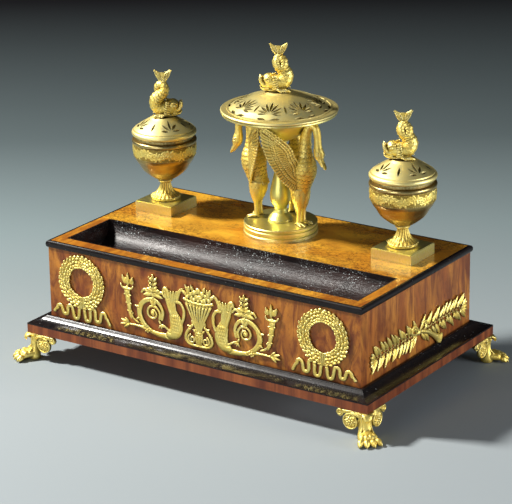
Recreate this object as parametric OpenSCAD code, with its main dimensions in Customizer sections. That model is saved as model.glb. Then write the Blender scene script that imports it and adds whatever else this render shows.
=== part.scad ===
// Desk inkstand: a veneered case with ebonised mouldings and a coved pen tray, two covered
// urns for ink and pounce, and a covered dish carried by three swans. Millimetres; the floor
// is z = 0, the front is -Y, and the origin lies under the middle of the case.

/* [Case] */
// Length of the case along the front
case_length = 365; // [340:1:400]
// Depth of the case, front to back
case_depth = 205; // [195:1:225]
// Height of the veneered sides
case_high = 72; // [72:1:90]
// Thickness of the case boards
board_thick = 10; // [8:0.5:12]

/* [Plinth] */
// Thickness of the plinth board
plinth_thick = 8.5; // [7:0.5:12]
// How far the ebonised moulding stands out from the case
moulding_wide = 17.5; // [14:0.5:20]
// Height of that moulding
moulding_high = 8; // [6:0.5:11]
// Height of the lip at its outer edge
moulding_lip = 1.4; // [1:0.2:2]

/* [Top] */
// Thickness of the top
top_thick = 7; // [6:0.5:9]
// Width of the black bead round the top
bead_wide = 3.8; // [3:0.2:5]
// How far the bead overhangs the case
bead_over = 2; // [1:0.2:2.6]

/* [Pen tray] */
// From each end of the case to the tray's opening
tray_end_in = 12; // [10:0.5:30]
// Width of the tray's opening
tray_wide = 71.5; // [60:0.5:75]
// Width of the veneered strip in front of the tray
front_strip = 12.6; // [12:0.2:20]
// Depth of the tray at the middle of the cove
tray_deep = 26.5; // [20:0.5:32]
// Depth of the upright lip above the cove
tray_lip = 5.5; // [4:0.5:8]
// Thickness of that lip
tray_edge = 1.2; // [1:0.1:1.6]
// Thickness of the tray under the cove
tray_floor = 4; // [3:0.5:6]
// Shoulder of the tray that bears against the underside of the top
tray_shoulder = 2.4; // [1.5:0.1:2.4]

/* [Row of pieces] */
// From the back edge of the tray to the middle of the urns and the dish
row_back = 58; // [50:1:59]
// From each end of the case to the middle of its urn
urn_in = 41; // [34:0.5:60]
// Radius of the tie rods
rod_r = 1.6; // [1.4:0.1:2.2]
// Gap round a tie rod
rod_gap = 0.2; // [0.15:0.05:0.4]
// Radius of the nuts
nut_r = 4; // [3.4:0.1:4.6]
// Height of the nuts
nut_high = 2.6; // [2:0.1:3]

/* [Urns] */
// Side of the square urn plinths
base_side = 45; // [38:0.5:50]
// Height of the square urn plinths
base_high = 11; // [8:0.5:14]
// Height of the leaf-cast foot and fluted stem
stem_high = 21.5; // [18:0.5:28]
// Radius of the leaf-cast foot
stem_foot_r = 15; // [12:0.5:18]
// Radius of the waist of the stem
stem_waist_r = 5.3; // [5:0.1:7]
// Number of flutes on the stem
flute_count = 14; // [10:1:18]
// Largest radius of the bowls
bowl_r = 32.1; // [30:0.2:36]
// Height of the bowls
bowl_high = 47; // [44:0.5:54]
// Wall of the bowls
bowl_wall = 2.4; // [2:0.1:3]
// Radius of the mouth of the bowls
mouth_r = 27.6; // [26.5:0.1:28]
// Depth of the seat of the liner below the mouth
seat_deep = 6.6; // [6:0.1:8]
// Wall of the glass liners
glass = 2.2; // [1.8:0.1:3]
// Thickness of the flange that a liner hangs by
flange_thick = 2; // [1.6:0.1:2.4]
// Gap round the liners and the collars of the covers
fit = 0.4; // [0.3:0.05:0.6]
// Thickness of the pierced covers
shell = 1.6; // [1.4:0.1:2]
// Height of an urn cover up to the seat of its dolphin
cover_high = 19.5; // [17:0.5:23]
// Height of a dolphin on an urn
dolphin_high = 48.5; // [42:0.5:54]

/* [Centre piece] */
// Radius of the drum
drum_r = 37.4; // [36:0.2:44]
// Height of the drum
drum_high = 12.4; // [10:0.2:16]
// Height of the baluster between the drum and the dish
baluster_high = 84; // [78:0.5:92]
// Radius of the baluster at its bulb
bulb_r = 10.4; // [8:0.2:11]
// Radius of the rim of the dish
dish_r = 57.5; // [55:0.5:64]
// Depth of the dish
dish_deep = 29.2; // [26:0.2:32]
// Wall of the dish
dish_wall = 2.4; // [2:0.1:3]
// Radius of the mouth of the dish
dish_mouth_r = 30.4; // [28:0.2:31]
// Depth of the rebate in the flange that the cover stands in
dish_rebate = 1.2; // [0.8:0.1:1.6]
// Height of the dish cover up to the seat of its dolphin
dome_high = 20.2; // [18:0.2:25]
// Thickness of the dish cover
dome_shell = 2; // [1.6:0.1:2.4]
// Number of palmettes cut through the dish cover
palmette_count = 8; // [6:1:8]
// Height of the dolphin on the dish
big_dolphin_high = 48.5; // [42:0.5:54]

/* [Feet and mounts] */
// Height of the paw feet
foot_high = 28.5; // [26:0.5:34]
// From each edge of the plinth to the shank of a foot
foot_in = 4.6; // [4:0.2:7]
// Radius of the rosettes beside each foot
rosette_r = 8.2; // [6:0.2:8.4]
// Outer radius of the laurel wreaths
wreath_r = 28; // [25:0.5:30]
// Thickness of the flat-chased mounts
mount_thick = 2.6; // [2:0.1:3.4]
// Length of the foot screws
screw_long = 14; // [12:1:18]

/* [Hidden] */
$fn = 72;

plinth_z = foot_high;
moulding_z = plinth_z + plinth_thick;
case_z = moulding_z + moulding_high;
top_z = case_z + case_high;
surface_z = top_z + top_thick;

plinth_length = case_length + 2 * moulding_wide;
plinth_depth = case_depth + 2 * moulding_wide;
// the veneered top inside the bead
top_length = case_length - 2 * (bead_wide - bead_over);
top_depth = case_depth - 2 * (bead_wide - bead_over);
tray_length = case_length - 2 * tray_end_in;
urn_out = case_length / 2 - urn_in;
tray_front_y = -top_depth / 2 + front_strip;
tray_back_y = tray_front_y + tray_wide;
row_y = tray_back_y + row_back;
dish_z = drum_high + baluster_high;
hole_r = rod_r + rod_gap;
under_rod = 9;
gilt = "goldenrod";
black = [0.12, 0.12, 0.13];

// ---- shared shapes ----

// A smooth run of points through the given ones, with n steps between each pair
function smooth(p, n = 4) = [
    for (i = [0:len(p) - 2])
        let (a = p[max(i - 1, 0)], b = p[i], c = p[i + 1], d = p[min(i + 2, len(p) - 1)])
            for (k = [0:n - 1])
                let (t = k / n)
                    0.5 * (2 * b + (c - a) * t + (2 * a - 5 * b + 4 * c - d) * t * t
                        + (3 * b - a - 3 * c + d) * t * t * t),
    p[len(p) - 1]
];

function unit(v) = v / norm(v);
function place(s) = [s[0], s[1], s[2]];
function heading(s, i) = unit(place(s[min(i + 1, len(s) - 1)]) - place(s[max(i - 1, 0)]));
// The part of v that lies square to t
function squared(v, t) = unit(v - (v * t) * t);

// A limb: oval rings square to a run of stations [x, y, z, half width, half depth].
// The half width lies along side and n is the number of points on a ring.
module limb(s, n = 8, side = [0, 1, 0]) {
    last = len(s) - 1;
    points = [
        for (i = [0:last])
            let (t = heading(s, i), w = squared(side, t), d = cross(t, w))
                for (k = [0:n - 1])
                    place(s[i]) + w * s[i][3] * cos(360 * k / n) + d * s[i][4] * sin(360 * k / n)
    ];
    faces = concat(
        [[for (k = [0:n - 1]) k]],
        [for (i = [0:last - 1], k = [0:n - 1]) let (m = (k + 1) % n)
            [i * n + k, (i + 1) * n + k, (i + 1) * n + m]],
        [for (i = [0:last - 1], k = [0:n - 1]) let (m = (k + 1) % n)
            [i * n + k, (i + 1) * n + m, i * n + m]],
        [[for (k = [n - 1:-1:0]) last * n + k]]
    );
    polyhedron(points, faces);
}

// The outline of a line of changing width, from a run of points [x, y, half width]
function heading2(p, i) =
    let (a = p[max(i - 1, 0)], b = p[min(i + 1, len(p) - 1)]) unit([b[0] - a[0], b[1] - a[1]]);
function edge(p, i, s) =
    let (d = heading2(p, i)) [p[i][0] - s * d[1] * p[i][2], p[i][1] + s * d[0] * p[i][2]];
function outline(p) = concat(
    [for (i = [0:len(p) - 1]) edge(p, i, 1)],
    [for (i = [len(p) - 1:-1:0]) edge(p, i, -1)]
);
module vine(p, n = 2) {
    polygon(outline(smooth(p, n)));
}

// A leaf as a plain polygon, from the origin along +X
module blade(long, wide, n = 3) {
    polygon([
        for (k = [0:n]) let (t = k / n) [long * t, wide / 2 * sin(180 * t)],
        for (k = [n - 1:-1:1]) let (t = k / n) [long * t, -wide / 2 * sin(180 * t)]
    ]);
}

// One length of a moulding that runs round a rectangle, mitred at both ends.
// turn: 0 front, 1 right, 2 back, 3 left. The children are its section: x outward, y up.
module mitred(turn, length, depth, wide, high) {
    along = turn % 2 == 0 ? length : depth;
    out = (turn % 2 == 0 ? depth : length) / 2;
    rotate([0, 0, 90 * turn]) translate([0, -out, 0]) intersection() {
        rotate([90, 0, -90]) linear_extrude(along + 2 * wide + 2, center = true) children();
        translate([0, 0, -1]) linear_extrude(high + 2) polygon([
            [-along / 2 + 1, 1], [along / 2 - 1, 1],
            [along / 2 + wide + 1, -wide - 1], [-along / 2 - wide - 1, -wide - 1]
        ]);
    }
}

// ---- case ----

module plinth_board() {
    color("sienna") difference() {
        translate([-plinth_length / 2, -plinth_depth / 2, plinth_z])
            cube([plinth_length, plinth_depth, plinth_thick]);
        at_feet() foot_screw(rod_gap);
    }
}

// Bead next to the case, a quirk, a long cove and a flat lip
module plinth_section() {
    bead = 4.2;
    quirk = 0.9;
    fall = moulding_high - quirk - moulding_lip;
    run = moulding_wide - bead - 2.2;
    polygon(concat(
        [[0, 0], [moulding_wide, 0], [moulding_wide, moulding_lip]],
        [for (k = [0:8]) let (t = k / 8)
            [moulding_wide - 2 - run * t, moulding_lip + fall * (0.35 * t + 0.65 * t * t * t)]],
        [for (k = [0:6]) let (a = 30 * k)
            [bead / 2 + bead / 2 * cos(a), moulding_high - bead / 2.6 + bead / 2.6 * sin(a)]]
    ));
}
module plinth_moulding(turn) {
    color(black) translate([0, 0, moulding_z])
        mitred(turn, case_length, case_depth, moulding_wide, moulding_high) plinth_section();
}
module plinth_moulding_front() { plinth_moulding(0); }
module plinth_moulding_right() { plinth_moulding(1); }
module plinth_moulding_back() { plinth_moulding(2); }
module plinth_moulding_left() { plinth_moulding(3); }

module case_long(y) {
    color("chocolate") translate([-case_length / 2, y, case_z])
        translate([0, 0, -moulding_high]) cube([case_length, board_thick, case_high + moulding_high]);
}
module case_short(x) {
    color("chocolate") translate([x, -case_depth / 2 + board_thick, moulding_z])
        cube([board_thick, case_depth - 2 * board_thick, case_high + moulding_high]);
}
module case_front() { case_long(-case_depth / 2); }
module case_back() { case_long(case_depth / 2 - board_thick); }
module case_left() { case_short(-case_length / 2); }
module case_right() { case_short(case_length / 2 - board_thick); }

// ---- top ----

module top_slab(p) {
    color("orange") translate([0, 0, top_z]) linear_extrude(top_thick) polygon(p);
}
module top_panel() {
    difference() {
        top_slab([[-top_length / 2, tray_back_y], [top_length / 2, tray_back_y],
            [top_length / 2, top_depth / 2], [-top_length / 2, top_depth / 2]]);
        for (x = [-urn_out, 0, urn_out])
            translate([x, row_y, top_z - 1]) cylinder(r = hole_r, h = top_thick + 2, $fn = 24);
    }
}
module top_rail_front() {
    top_slab([[-top_length / 2, -top_depth / 2], [top_length / 2, -top_depth / 2],
        [tray_length / 2, tray_front_y], [-tray_length / 2, tray_front_y]]);
}
module top_rail_side(s) {
    top_slab([[s * top_length / 2, -top_depth / 2], [s * tray_length / 2, tray_front_y],
        [s * tray_length / 2, tray_back_y], [s * top_length / 2, tray_back_y]]);
}
module top_rail_left() { top_rail_side(-1); }
module top_rail_right() { top_rail_side(1); }

// Half-round nose over the edge of the case, flat on top
module bead_section() {
    flat = bead_wide - bead_over;
    polygon(concat(
        [[0, 0], [flat, 0]],
        [for (a = [-75:15:75]) [flat + bead_over * cos(a), top_thick / 2 * (1 + sin(a))]],
        [[flat, top_thick], [0, top_thick]]
    ));
}
module top_bead(turn) {
    color(black) translate([0, 0, top_z])
        mitred(turn, top_length, top_depth, bead_wide, top_thick) bead_section();
}
module top_bead_front() { top_bead(0); }
module top_bead_right() { top_bead(1); }
module top_bead_back() { top_bead(2); }
module top_bead_left() { top_bead(3); }

// ---- pen tray ----

// The end boards and the trough share one outer section; the trough has the cove cut out
module tray_section(cove) {
    half = tray_wide / 2;
    inner = half - tray_edge;
    rise = tray_deep - tray_lip;
    r = (inner * inner + rise * rise) / 2 / rise;
    low = -tray_deep - tray_floor;
    difference() {
        polygon([[-half, 0], [half, 0], [half, -top_thick], [half + tray_shoulder, -top_thick],
            [half + tray_shoulder, -tray_lip - 8], [half * 0.62, low], [-half * 0.62, low],
            [-half - tray_shoulder, -tray_lip - 8], [-half - tray_shoulder, -top_thick],
            [-half, -top_thick]]);
        if (cove) {
            translate([-inner, -tray_lip]) square([2 * inner, tray_lip + 1]);
            intersection() {
                translate([0, r - tray_deep]) circle(r = r, $fn = 96);
                translate([-inner, -tray_deep - 1]) square([2 * inner, rise + 1]);
            }
        }
    }
}
module tray_piece(x, long) {
    color(black) translate([x, (tray_front_y + tray_back_y) / 2, surface_z])
        rotate([90, 0, 90]) linear_extrude(long) children();
}
module tray_trough() {
    tray_piece(-tray_length / 2 + tray_edge, tray_length - 2 * tray_edge) tray_section(true);
}
module tray_end_left() { tray_piece(-tray_length / 2, tray_edge) tray_section(false); }
module tray_end_right() { tray_piece(tray_length / 2 - tray_edge, tray_edge) tray_section(false); }

// ---- flat mounts on the case ----

// Two levels of relief: the whole figure, and the same figure drawn in a little
module relief(inset = 0.45, share = 0.6, full = 0.08) {
    linear_extrude(mount_thick * share) offset(delta = full) children();
    translate([0, 0, mount_thick * share]) linear_extrude(mount_thick * (1 - share))
        offset(delta = -inset) children();
}
module on_front() {
    color(gilt) translate([0, -case_depth / 2, case_z]) rotate([90, 0, 0]) children();
}
module on_side(s) {
    color(gilt) translate([s * case_length / 2, 0, case_z])
        rotate([0, 0, 90 * s]) rotate([90, 0, 0]) children();
}
module ring2(r, wide) {
    difference() {
        circle(r = r, $fn = 24);
        circle(r = r - wide, $fn = 24);
    }
}
module spiral(x, y, r, turns, from, wide, way = 1) {
    steps = ceil(turns * 9);
    polygon(outline([for (k = [0:steps]) let (t = k / steps, q = r * (1 - 0.78 * t))
        [x + q * cos(from + way * 360 * turns * t), y + q * sin(from + way * 360 * turns * t),
            wide / 2 * (1 - 0.35 * t)]]));
}

// Right half of the front mount, measured outward from its middle and up from the case bottom
module front_half() {
    // basket: ribs, rim, heap of fruit, corner leaf
    for (k = [0:3]) vine([[0.3 + k, 13, 0.8], [1.5 + 2.2 * k, 27, 0.9], [2 + 4.6 * k, 47, 1.3]]);
    vine([[-0.5, 49.5, 1.9], [9, 49.5, 1.9], [17, 51.5, 1.9]]);
    vine([[-0.5, 44.2, 0.8], [8, 44.2, 0.8], [15.5, 45.5, 0.8]]);
    vine([[16, 51, 1.2], [19.5, 46, 1.3], [16, 38, 1.2], [11, 28, 1]]);
    for (p = [[1.8, 54, 3.4], [7, 54.2, 3.2], [11.8, 54.6, 2.7], [4.4, 58.6, 2.8], [0, 60.6, 2.4]])
        translate([p[0], p[1]]) circle(r = p[2], $fn = 10);
    for (a = [[12, 55, 62, 13], [13, 55, 88, 10], [12.5, 56, 38, 8]])
        translate([a[0], a[1]]) rotate(a[2]) blade(a[3], 4);
    // volutes that the basket stands on
    spiral(7.6, 10.5, 6.4, 1.5, 200, 1.9, -1);
    vine([[1.5, 15, 1.3], [8, 20, 1.5], [14.5, 16, 1.2], [15, 8.5, 1.2], [9, 4.2, 1.1], [-0.5, 3.6, 1.1]]);
    vine([[3, 27, 1], [8, 25.5, 1], [12, 20, 1]]);
    // bird: breast, raised wing, tail running into the palmette
    vine([[21, 46, 1], [24.5, 44, 2], [24, 35, 3.4], [23, 26, 5.4], [23.6, 17, 5.6],
        [30, 10.5, 3.2], [39, 8, 1.9], [49, 8.2, 1.5], [60, 10, 1.7], [73, 11.6, 1.5], [84, 12, 1.4]]);
    vine([[27, 30, 3], [29.5, 40, 3.6], [32, 48, 2.4], [34, 55, 1.5], [37.5, 57.5, 1.2], [39, 53.5, 0.9]]);
    vine([[25, 34, 2.6], [27, 44, 2.6], [26.4, 52, 1.7], [24.2, 58, 1.2], [21.4, 58, 1]]);
    vine([[33, 36, 1.5], [37, 30, 1.2], [41, 24.5, 1], [45, 22, 1.3]]);
    vine([[40, 8.6, 1], [46, 12, 1.1], [45, 16.4, 1], [41.4, 15.4, 0.8]]);
    for (a = [[84, 12, 25, 11], [84.5, 11.5, -8, 10], [84, 11, -42, 8.5]])
        translate([a[0], a[1]]) rotate(a[2]) blade(a[3], 4.4);
    translate([61, 8.5]) circle(r = 2.4, $fn = 10);
    // round scroll with its spiral heart
    vine([[60, 9, 1.3], [68.5, 16, 2], [71, 26, 2.2], [67.5, 36, 2], [58, 41.5, 1.7], [51, 42, 1.4],
        [43.5, 37, 1.5], [42, 29, 1.5], [45, 23, 1.3]]);
    spiral(53, 28.5, 8.2, 1.4, -60, 1.9, 1);
    translate([53, 28.5]) circle(r = 3, $fn = 12);
    vine([[53, 36, 1], [53.2, 46, 1.2], [53, 52, 1.1]]);
    vine([[53, 12, 1], [53, 20.5, 1]]);
    // ear of corn on the scroll, with the leaves that tie it to wing and torch
    for (k = [0:2], s = [-1, 1]) translate([53 + s * 0.6, 52 + 4.2 * k]) rotate(90 - s * 34) blade(6.4, 3.2);
    translate([53, 61]) rotate(90) blade(7, 3.2);
    for (s = [-1, 1]) vine([[53, 46, 1], [53 + s * 6, 49.6, 1.5], [53 + s * 12, 51, 1.2], [53 + s * 14, 48.5, 0.8]]);
    vine([[65, 49.5, 1], [71, 47, 1.1], [77, 48.6, 0.9]]);
    vine([[41, 49.5, 1], [37, 52.5, 0.9]]);
    // torch: tapering shaft, cup, flame
    vine([[83, 20.5, 1.2], [83.6, 28, 2.2], [84.4, 38, 2.7], [84.6, 45, 3.4]]);
    vine([[77, 50, 0.8], [80, 47.4, 1.4], [84.5, 46, 1.5], [89, 47, 1.3], [91, 50, 0.8]]);
    for (a = [[81.5, 48, 105, 10], [86, 48, 76, 11], [84, 49, 90, 15]])
        translate([a[0], a[1]]) rotate(a[2]) blade(a[3], 4.6);
    vine([[84, 22, 1], [78, 17, 1.2], [71, 13.4, 1]]);
}
module front_mount() {
    on_front() relief(0.1, 0.6, 0.42) {
        front_half();
        mirror([1, 0]) front_half();
        translate([-1, 3]) square([2, 26]);
    }
}

// Laurel wreath: three rows of leaves that climb from the ribbon to the top on both sides
module wreath_shape(inset = 0) {
    mid = wreath_r - 6.5;
    ring2(mid + 4.2, 8.6);
    for (s = [-1, 1], k = [0:9]) let (a = -84 + 18.2 * k) {
        mirror([s < 0 ? 1 : 0, 0]) rotate(a) translate([mid, 0]) {
            rotate(54) translate([1.4, 0]) blade(8, 4.8);
            rotate(90) blade(8.6, 4.4);
            rotate(126) translate([1.4, 0]) blade(7.6, 4.6);
        }
    }
    translate([0, mid]) circle(r = 4.6, $fn = 16);
}
// Ribbon laid in a row of deep loops below the wreath, with two tails
module ribbon_shape() {
    low = -wreath_r - 9.4;
    top = -wreath_r - 0.6;
    vine([[-34.2, low, 1.9], [-31.6, low + 5, 1.5], [-29.4, top, 1.4], [-27, low + 5, 1.4],
        [-25, low + 1, 1.8], [-22.6, low + 5, 1.4], [-19.6, top + 0.6, 1.5], [-16, low + 5, 1.4],
        [-13, low + 0.4, 1.9], [-10, low + 5, 1.4], [-6, top + 1, 1.6], [-2, low + 5, 1.4],
        [1, low, 1.9], [4, low + 5, 1.4], [8, top + 1, 1.6], [12, low + 5, 1.4],
        [15, low + 0.4, 1.9], [18.6, low + 5, 1.4], [23, top, 1.5], [27.6, low + 5, 1.5],
        [30.6, low + 4, 1.6], [34.2, low, 1.9]]);
    translate([-9, top - 1]) square([18, 3.4]);
}
module wreath(s) {
    high = case_high / 2 + 6;
    on_front() translate([s * urn_out, high]) {
        relief(0.5, 0.5) wreath_shape();
        linear_extrude(mount_thick * 0.6) offset(delta = 0.05) ribbon_shape();
    }
}
module wreath_left() { wreath(-1); }
module wreath_right() { wreath(1); }

// Two leafy branches laid end to end, crossed at the knot, with one cut stem and its flared cup
module branch(long, count) {
    vine([[-10, -3, 0.9], [0, 0, 1], [long * 0.5, 1, 0.9], [long - 4, 0, 0.7]]);
    for (k = [0:count - 1], s = [-1, 1]) let (t = k / count, reach = 15.5 - 5 * t * t)
        translate([4 + (long - 13) * t, 0]) rotate(s * (56 - 24 * t)) blade(reach, 6.2);
    translate([long - 10, 0]) blade(10, 5);
}
module spray(s) {
    mid = 20.5;
    on_side(s) translate([0, mid]) {
        relief(0.5, 0.55) {
            translate([3, 0]) branch(91, 9);
            translate([-3, 0]) mirror([1, 0]) branch(86, 9);
            for (q = [-1, 1]) vine([[q * 2, 0, 1.2], [q * 8, 8, 1.3], [q * 14, 6, 1.1], [q * 10, -1, 1]]);
        }
        translate([2, 0.5, 0]) rotate(-24) {
            translate([0, -2.4, 0]) cube([26, 4.8, mount_thick * 1.25]);
            translate([28, 0, 0]) cylinder(r = 6.4, h = mount_thick * 1.4, $fn = 32);
        }
    }
}
module spray_left() { mirror([1, 0, 0]) spray(1); }
module spray_right() { spray(1); }

// ---- feet ----

module at_feet() {
    for (s = [-1, 1], q = [-1, 1])
        translate([s * (plinth_length / 2 - foot_in), q * (plinth_depth / 2 - foot_in), 0]) children();
}
// Flat-headed screw, let into the plinth board under the moulding and driven down into the shank
module foot_screw(gap = 0) {
    translate([0, 0, moulding_z - screw_long]) cylinder(r = rod_r + gap, h = screw_long + gap, $fn = 24);
    translate([0, 0, moulding_z - 2.4]) cylinder(r = 3.2 + gap, h = 2.4 + gap, $fn = 24);
}
module foot_screws() { color("gray") at_feet() foot_screw(); }

function toe(a) = [for (p = [[3, 8, 2.6, 2.6], [8.6, 8.6, 3, 3.2], [13.6, 7.4, 3.2, 3.8],
    [17, 4.4, 2.7, 3.2], [19.4, 2.2, 2.2, 2.2], [20.4, 0.4, 1.4, 1]])
    [p[0] * cos(a), p[0] * sin(a), p[1], p[2], p[3]]];
module paw() {
    // straight shank over the heel
    limb([[0, 0, 29, 8.4, 6.4], [-0.2, 0, 24.8, 6.9, 5], [-0.4, 0, 19.4, 6.1, 4.4], [-0.2, 0, 14, 6.7, 5],
        [0.2, 0, 8.6, 7.8, 6.2], [0.4, 0, 4, 8.2, 6.6], [0.4, 0, -1, 7.6, 6.2]], 12);
    // the paw runs out beyond the corner
    limb([[-3, 0, 5.2, 6, 4.4], [3, 0, 6, 8.4, 5.6], [9, 0, 5.6, 9.8, 5.4], [14, 0, 4.2, 10.2, 4.4],
        [17, 0, 2.6, 9.4, 3]], 10);
    for (a = [-30, -10.4, 10.4, 30]) {
        limb(toe(a), 8, [-sin(a), cos(a), 0]);
        // claw
        limb([for (p = [[18.6, 3.8, 1.5], [21, 2.8, 1.3], [22.6, 0.4, 0.5]])
            [p[0] * cos(a), p[0] * sin(a), p[1], p[2], p[2]]], 5, [-sin(a), cos(a), 0]);
    }
    // leaf collar under the plinth
    limb([[0, 0, 29, 9.2, 7.6], [0, 0, 26.6, 9.4, 7.6], [0, 0, 25.2, 6.8, 5.4]], 12);
}
// Scroll arm and rosette along one side, drawn outward from the shank and down from the plinth
module arm_shape() {
    vine([[2, -3.6, 3.4], [8, -2.9, 2.8], [14.6, -2.2, 2.1], [20.6, -2.2, 2.1], [25.4, -3.2, 2.7]], 3);
    translate([25.8, -4.3]) circle(r = 4.1, $fn = 24);
}
module foot_arm() {
    deep = 3.4;
    translate([0, foot_in - 1.6, foot_high]) rotate([90, 0, 180]) {
        linear_extrude(deep) arm_shape();
        translate([25.8, -4.3, 0]) cylinder(r = 2, h = deep + 1, $fn = 24);
        translate([14.6, -3 - rosette_r, 0]) rotate_extrude($fn = 40) polygon([[0, 0],
            [rosette_r, 0], [rosette_r, deep], [rosette_r - 0.9, deep + 0.3], [rosette_r - 1.5, deep - 1],
            [2.6, deep - 1], [2, deep + 0.2], [0, deep + 0.7]]);
    }
}
module foot(s, q) {
    color(gilt) difference() {
        translate([s * (plinth_length / 2 - foot_in), q * (plinth_depth / 2 - foot_in), 0]) {
            resize([0, 0, foot_high]) intersection() {
                rotate([0, 0, atan2(q, s)]) paw();
                translate([-40, -40, 0]) cube([80, 80, 28.5]);
            }
            mirror([s > 0 ? 0 : 1, 0, 0]) mirror([0, q > 0 ? 0 : 1, 0]) {
                foot_arm();
                mirror([1, -1, 0]) foot_arm();
            }
        }
        translate([s * (plinth_length / 2 - foot_in), q * (plinth_depth / 2 - foot_in), 0])
            foot_screw(rod_gap);
    }
}
module foot_front_left() { foot(-1, -1); }
module foot_front_right() { foot(1, -1); }
module foot_back_left() { foot(-1, 1); }
module foot_back_right() { foot(1, 1); }

// ---- urns ----

module on_top(x) { translate([x, row_y, surface_z]) children(); }
module rod_hole(h) { translate([0, 0, -1]) cylinder(r = hole_r, h = h + 2, $fn = 24); }

module urn_plinth(x) {
    step = 0.7;
    half = base_side / 2;
    color(gilt) on_top(x) difference() {
        union() {
            translate([-half, -half, 0]) cube([base_side, base_side, base_high - step]);
            translate([step - half, step - half, 0])
                cube([base_side - 2 * step, base_side - 2 * step, base_high]);
        }
        rod_hole(base_high);
    }
}

// Leaf-cast foot, fluted trumpet and collar
module urn_stem(x) {
    h = stem_high;
    r = stem_foot_r;
    w = stem_waist_r;
    color(gilt) on_top(x) translate([0, 0, base_high]) difference() {
        rotate_extrude() polygon(concat(
            [[hole_r, 0], [r - 0.8, 0]],
            [for (a = [-60:20:80]) [r - 1.6 + 1.6 * cos(a), 0.1 * h + 0.09 * h * (sin(a))]],
            smooth([[r * 0.82, 0.21 * h], [r * 0.66, 0.3 * h], [w + 2.2, 0.5 * h], [w, 0.82 * h]], 3),
            [[w, 0.86 * h], [w + 1.9, 0.89 * h], [w + 2.2, 0.93 * h], [w + 1.8, h], [hole_r, h]]
        ));
        for (k = [0:flute_count - 1]) rotate([0, 0, 360 * k / flute_count])
            translate([r * 0.86, 0, 0.26 * h]) rotate([0, -16, 0])
                cylinder(r1 = 1.15, r2 = 0.45, h = 0.56 * h, $fn = 16);
    }
}

// The bowl's outer profile: round belly, upright frieze, lip and recessed neck
function belly() = smooth([[0.22, 0], [0.35, 0.035], [0.52, 0.117], [0.7, 0.225], [0.81, 0.35],
    [0.93, 0.47], [0.966, 0.54]], 2);
function bowl_profile() = concat(
    [for (p = belly()) [p[0] * bowl_r, p[1] * bowl_high]],
    [[bowl_r * 0.985, bowl_high * 0.545], [bowl_r, bowl_high * 0.84]],
    [for (a = [-70:20:70]) [bowl_r + 1.1 * cos(a), bowl_high * 0.885 + bowl_high * 0.042 * sin(a)]],
    [[mouth_r + bowl_wall, bowl_high * 0.94], [mouth_r + bowl_wall, bowl_high]]
);
nest_r = mouth_r - 2;
nest_z = 9.4;
// The inside of the bowl, which the liner follows with a gap all round
function nest(gap) = concat(
    [[0, nest_z + gap]],
    [for (p = belly()) if (p[1] * bowl_high > nest_z + gap && p[0] * bowl_r - bowl_wall < nest_r)
        [p[0] * bowl_r - bowl_wall - gap, p[1] * bowl_high + gap * 0.6]],
    [[nest_r - gap, bowl_high * 0.5]]
);
function nest_foot(gap) = let (n = nest(gap)) concat([n[0], [n[1][0] * 0.86, n[0][1]]],
    [for (i = [1:len(n) - 1]) n[i]]);
module urn_bowl(x) {
    seat = bowl_high - seat_deep;
    color(gilt) on_top(x) translate([0, 0, base_high + stem_high]) difference() {
        rotate_extrude() polygon(concat([[0, 0]], bowl_profile(), [[0, bowl_high]]));
        rotate_extrude() polygon(concat(nest_foot(0), [[nest_r, seat], [mouth_r, seat],
            [mouth_r, bowl_high + 1], [0, bowl_high + 1]]));
        rod_hole(nest_z);
        // room for the head of the tie rod
        translate([0, 0, nest_z - nut_high - 1]) cylinder(r = nut_r + 1, h = nut_high + 2, $fn = 32);
    }
}
module urn_liner(x) {
    seat = bowl_high - seat_deep;
    inner = nest_r - fit - glass;
    // the belly's largest inside, from which the hollow draws in toward its floor
    hollow = bowl_r - bowl_wall - fit - glass;
    color([0.7, 0.85, 0.9, 0.6]) on_top(x) translate([0, 0, base_high + stem_high])
        rotate_extrude() polygon(concat(
            nest_foot(fit), [[nest_r - fit, seat], [mouth_r - fit, seat], [mouth_r - fit, seat + flange_thick],
            [inner, seat + flange_thick], [inner, bowl_high * 0.5],
            [min(inner, hollow - 5.71), nest_z + fit + glass + 3],
            [min(inner, hollow - 10.54), nest_z + fit + glass], [0, nest_z + fit + glass]]));
}

// Cover: half-round rim, low straight cone, and a collar that drops into the mouth
function cover_curve() = [[0.955, 0.37], [0.89, 0.45], [0.76, 0.595], [0.6, 0.755], [0.45, 0.9], [0.365, 1]];
module cover_section() {
    h = cover_high;
    collar = seat_deep - flange_thick - fit;
    r = bowl_r;
    top = [for (p = cover_curve()) [p[0] * r, p[1] * h]];
    polygon(concat(
        [[mouth_r - fit - 2, -collar], [mouth_r - fit, -collar], [mouth_r - fit, 0], [mouth_r + bowl_wall, 0]],
        [for (a = [-80:20:80]) [r - 1.6 + 2.7 * cos(a), 0.17 * h + 0.15 * h * sin(a)]],
        top, [[0, h], [0, h - shell * 1.6]],
        [for (i = [len(top) - 1:-1:0]) [top[i][0] - shell * 0.5, top[i][1] - shell]],
        [[mouth_r - fit - 2, 0.3 * h]]
    ));
}
// Fan of slots in a cover: rooted at radius r, the middle one pointing inward
module fan(r, count, spread, long, wide) {
    for (k = [0:count - 1]) let (a = spread * (k / (count - 1) - 0.5))
        translate([r, 0]) rotate(180 + a) translate([long * 0.16, 0])
            blade(long * (1 - 0.22 * abs(a) / 60), wide, 4);
}
module urn_cover(x, turn) {
    color(gilt) on_top(x) translate([0, 0, base_high + stem_high + bowl_high]) difference() {
        rotate_extrude() cover_section();
        translate([0, 0, 6.4]) linear_extrude(cover_high) for (k = [0:3]) rotate(turn + 90 * k) {
            fan(0.84 * bowl_r, 5, 150, 11.6, 2.8);
            rotate(45) translate([0.55 * bowl_r, 0]) blade(10, 2.6, 4);
        }
    }
}

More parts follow.
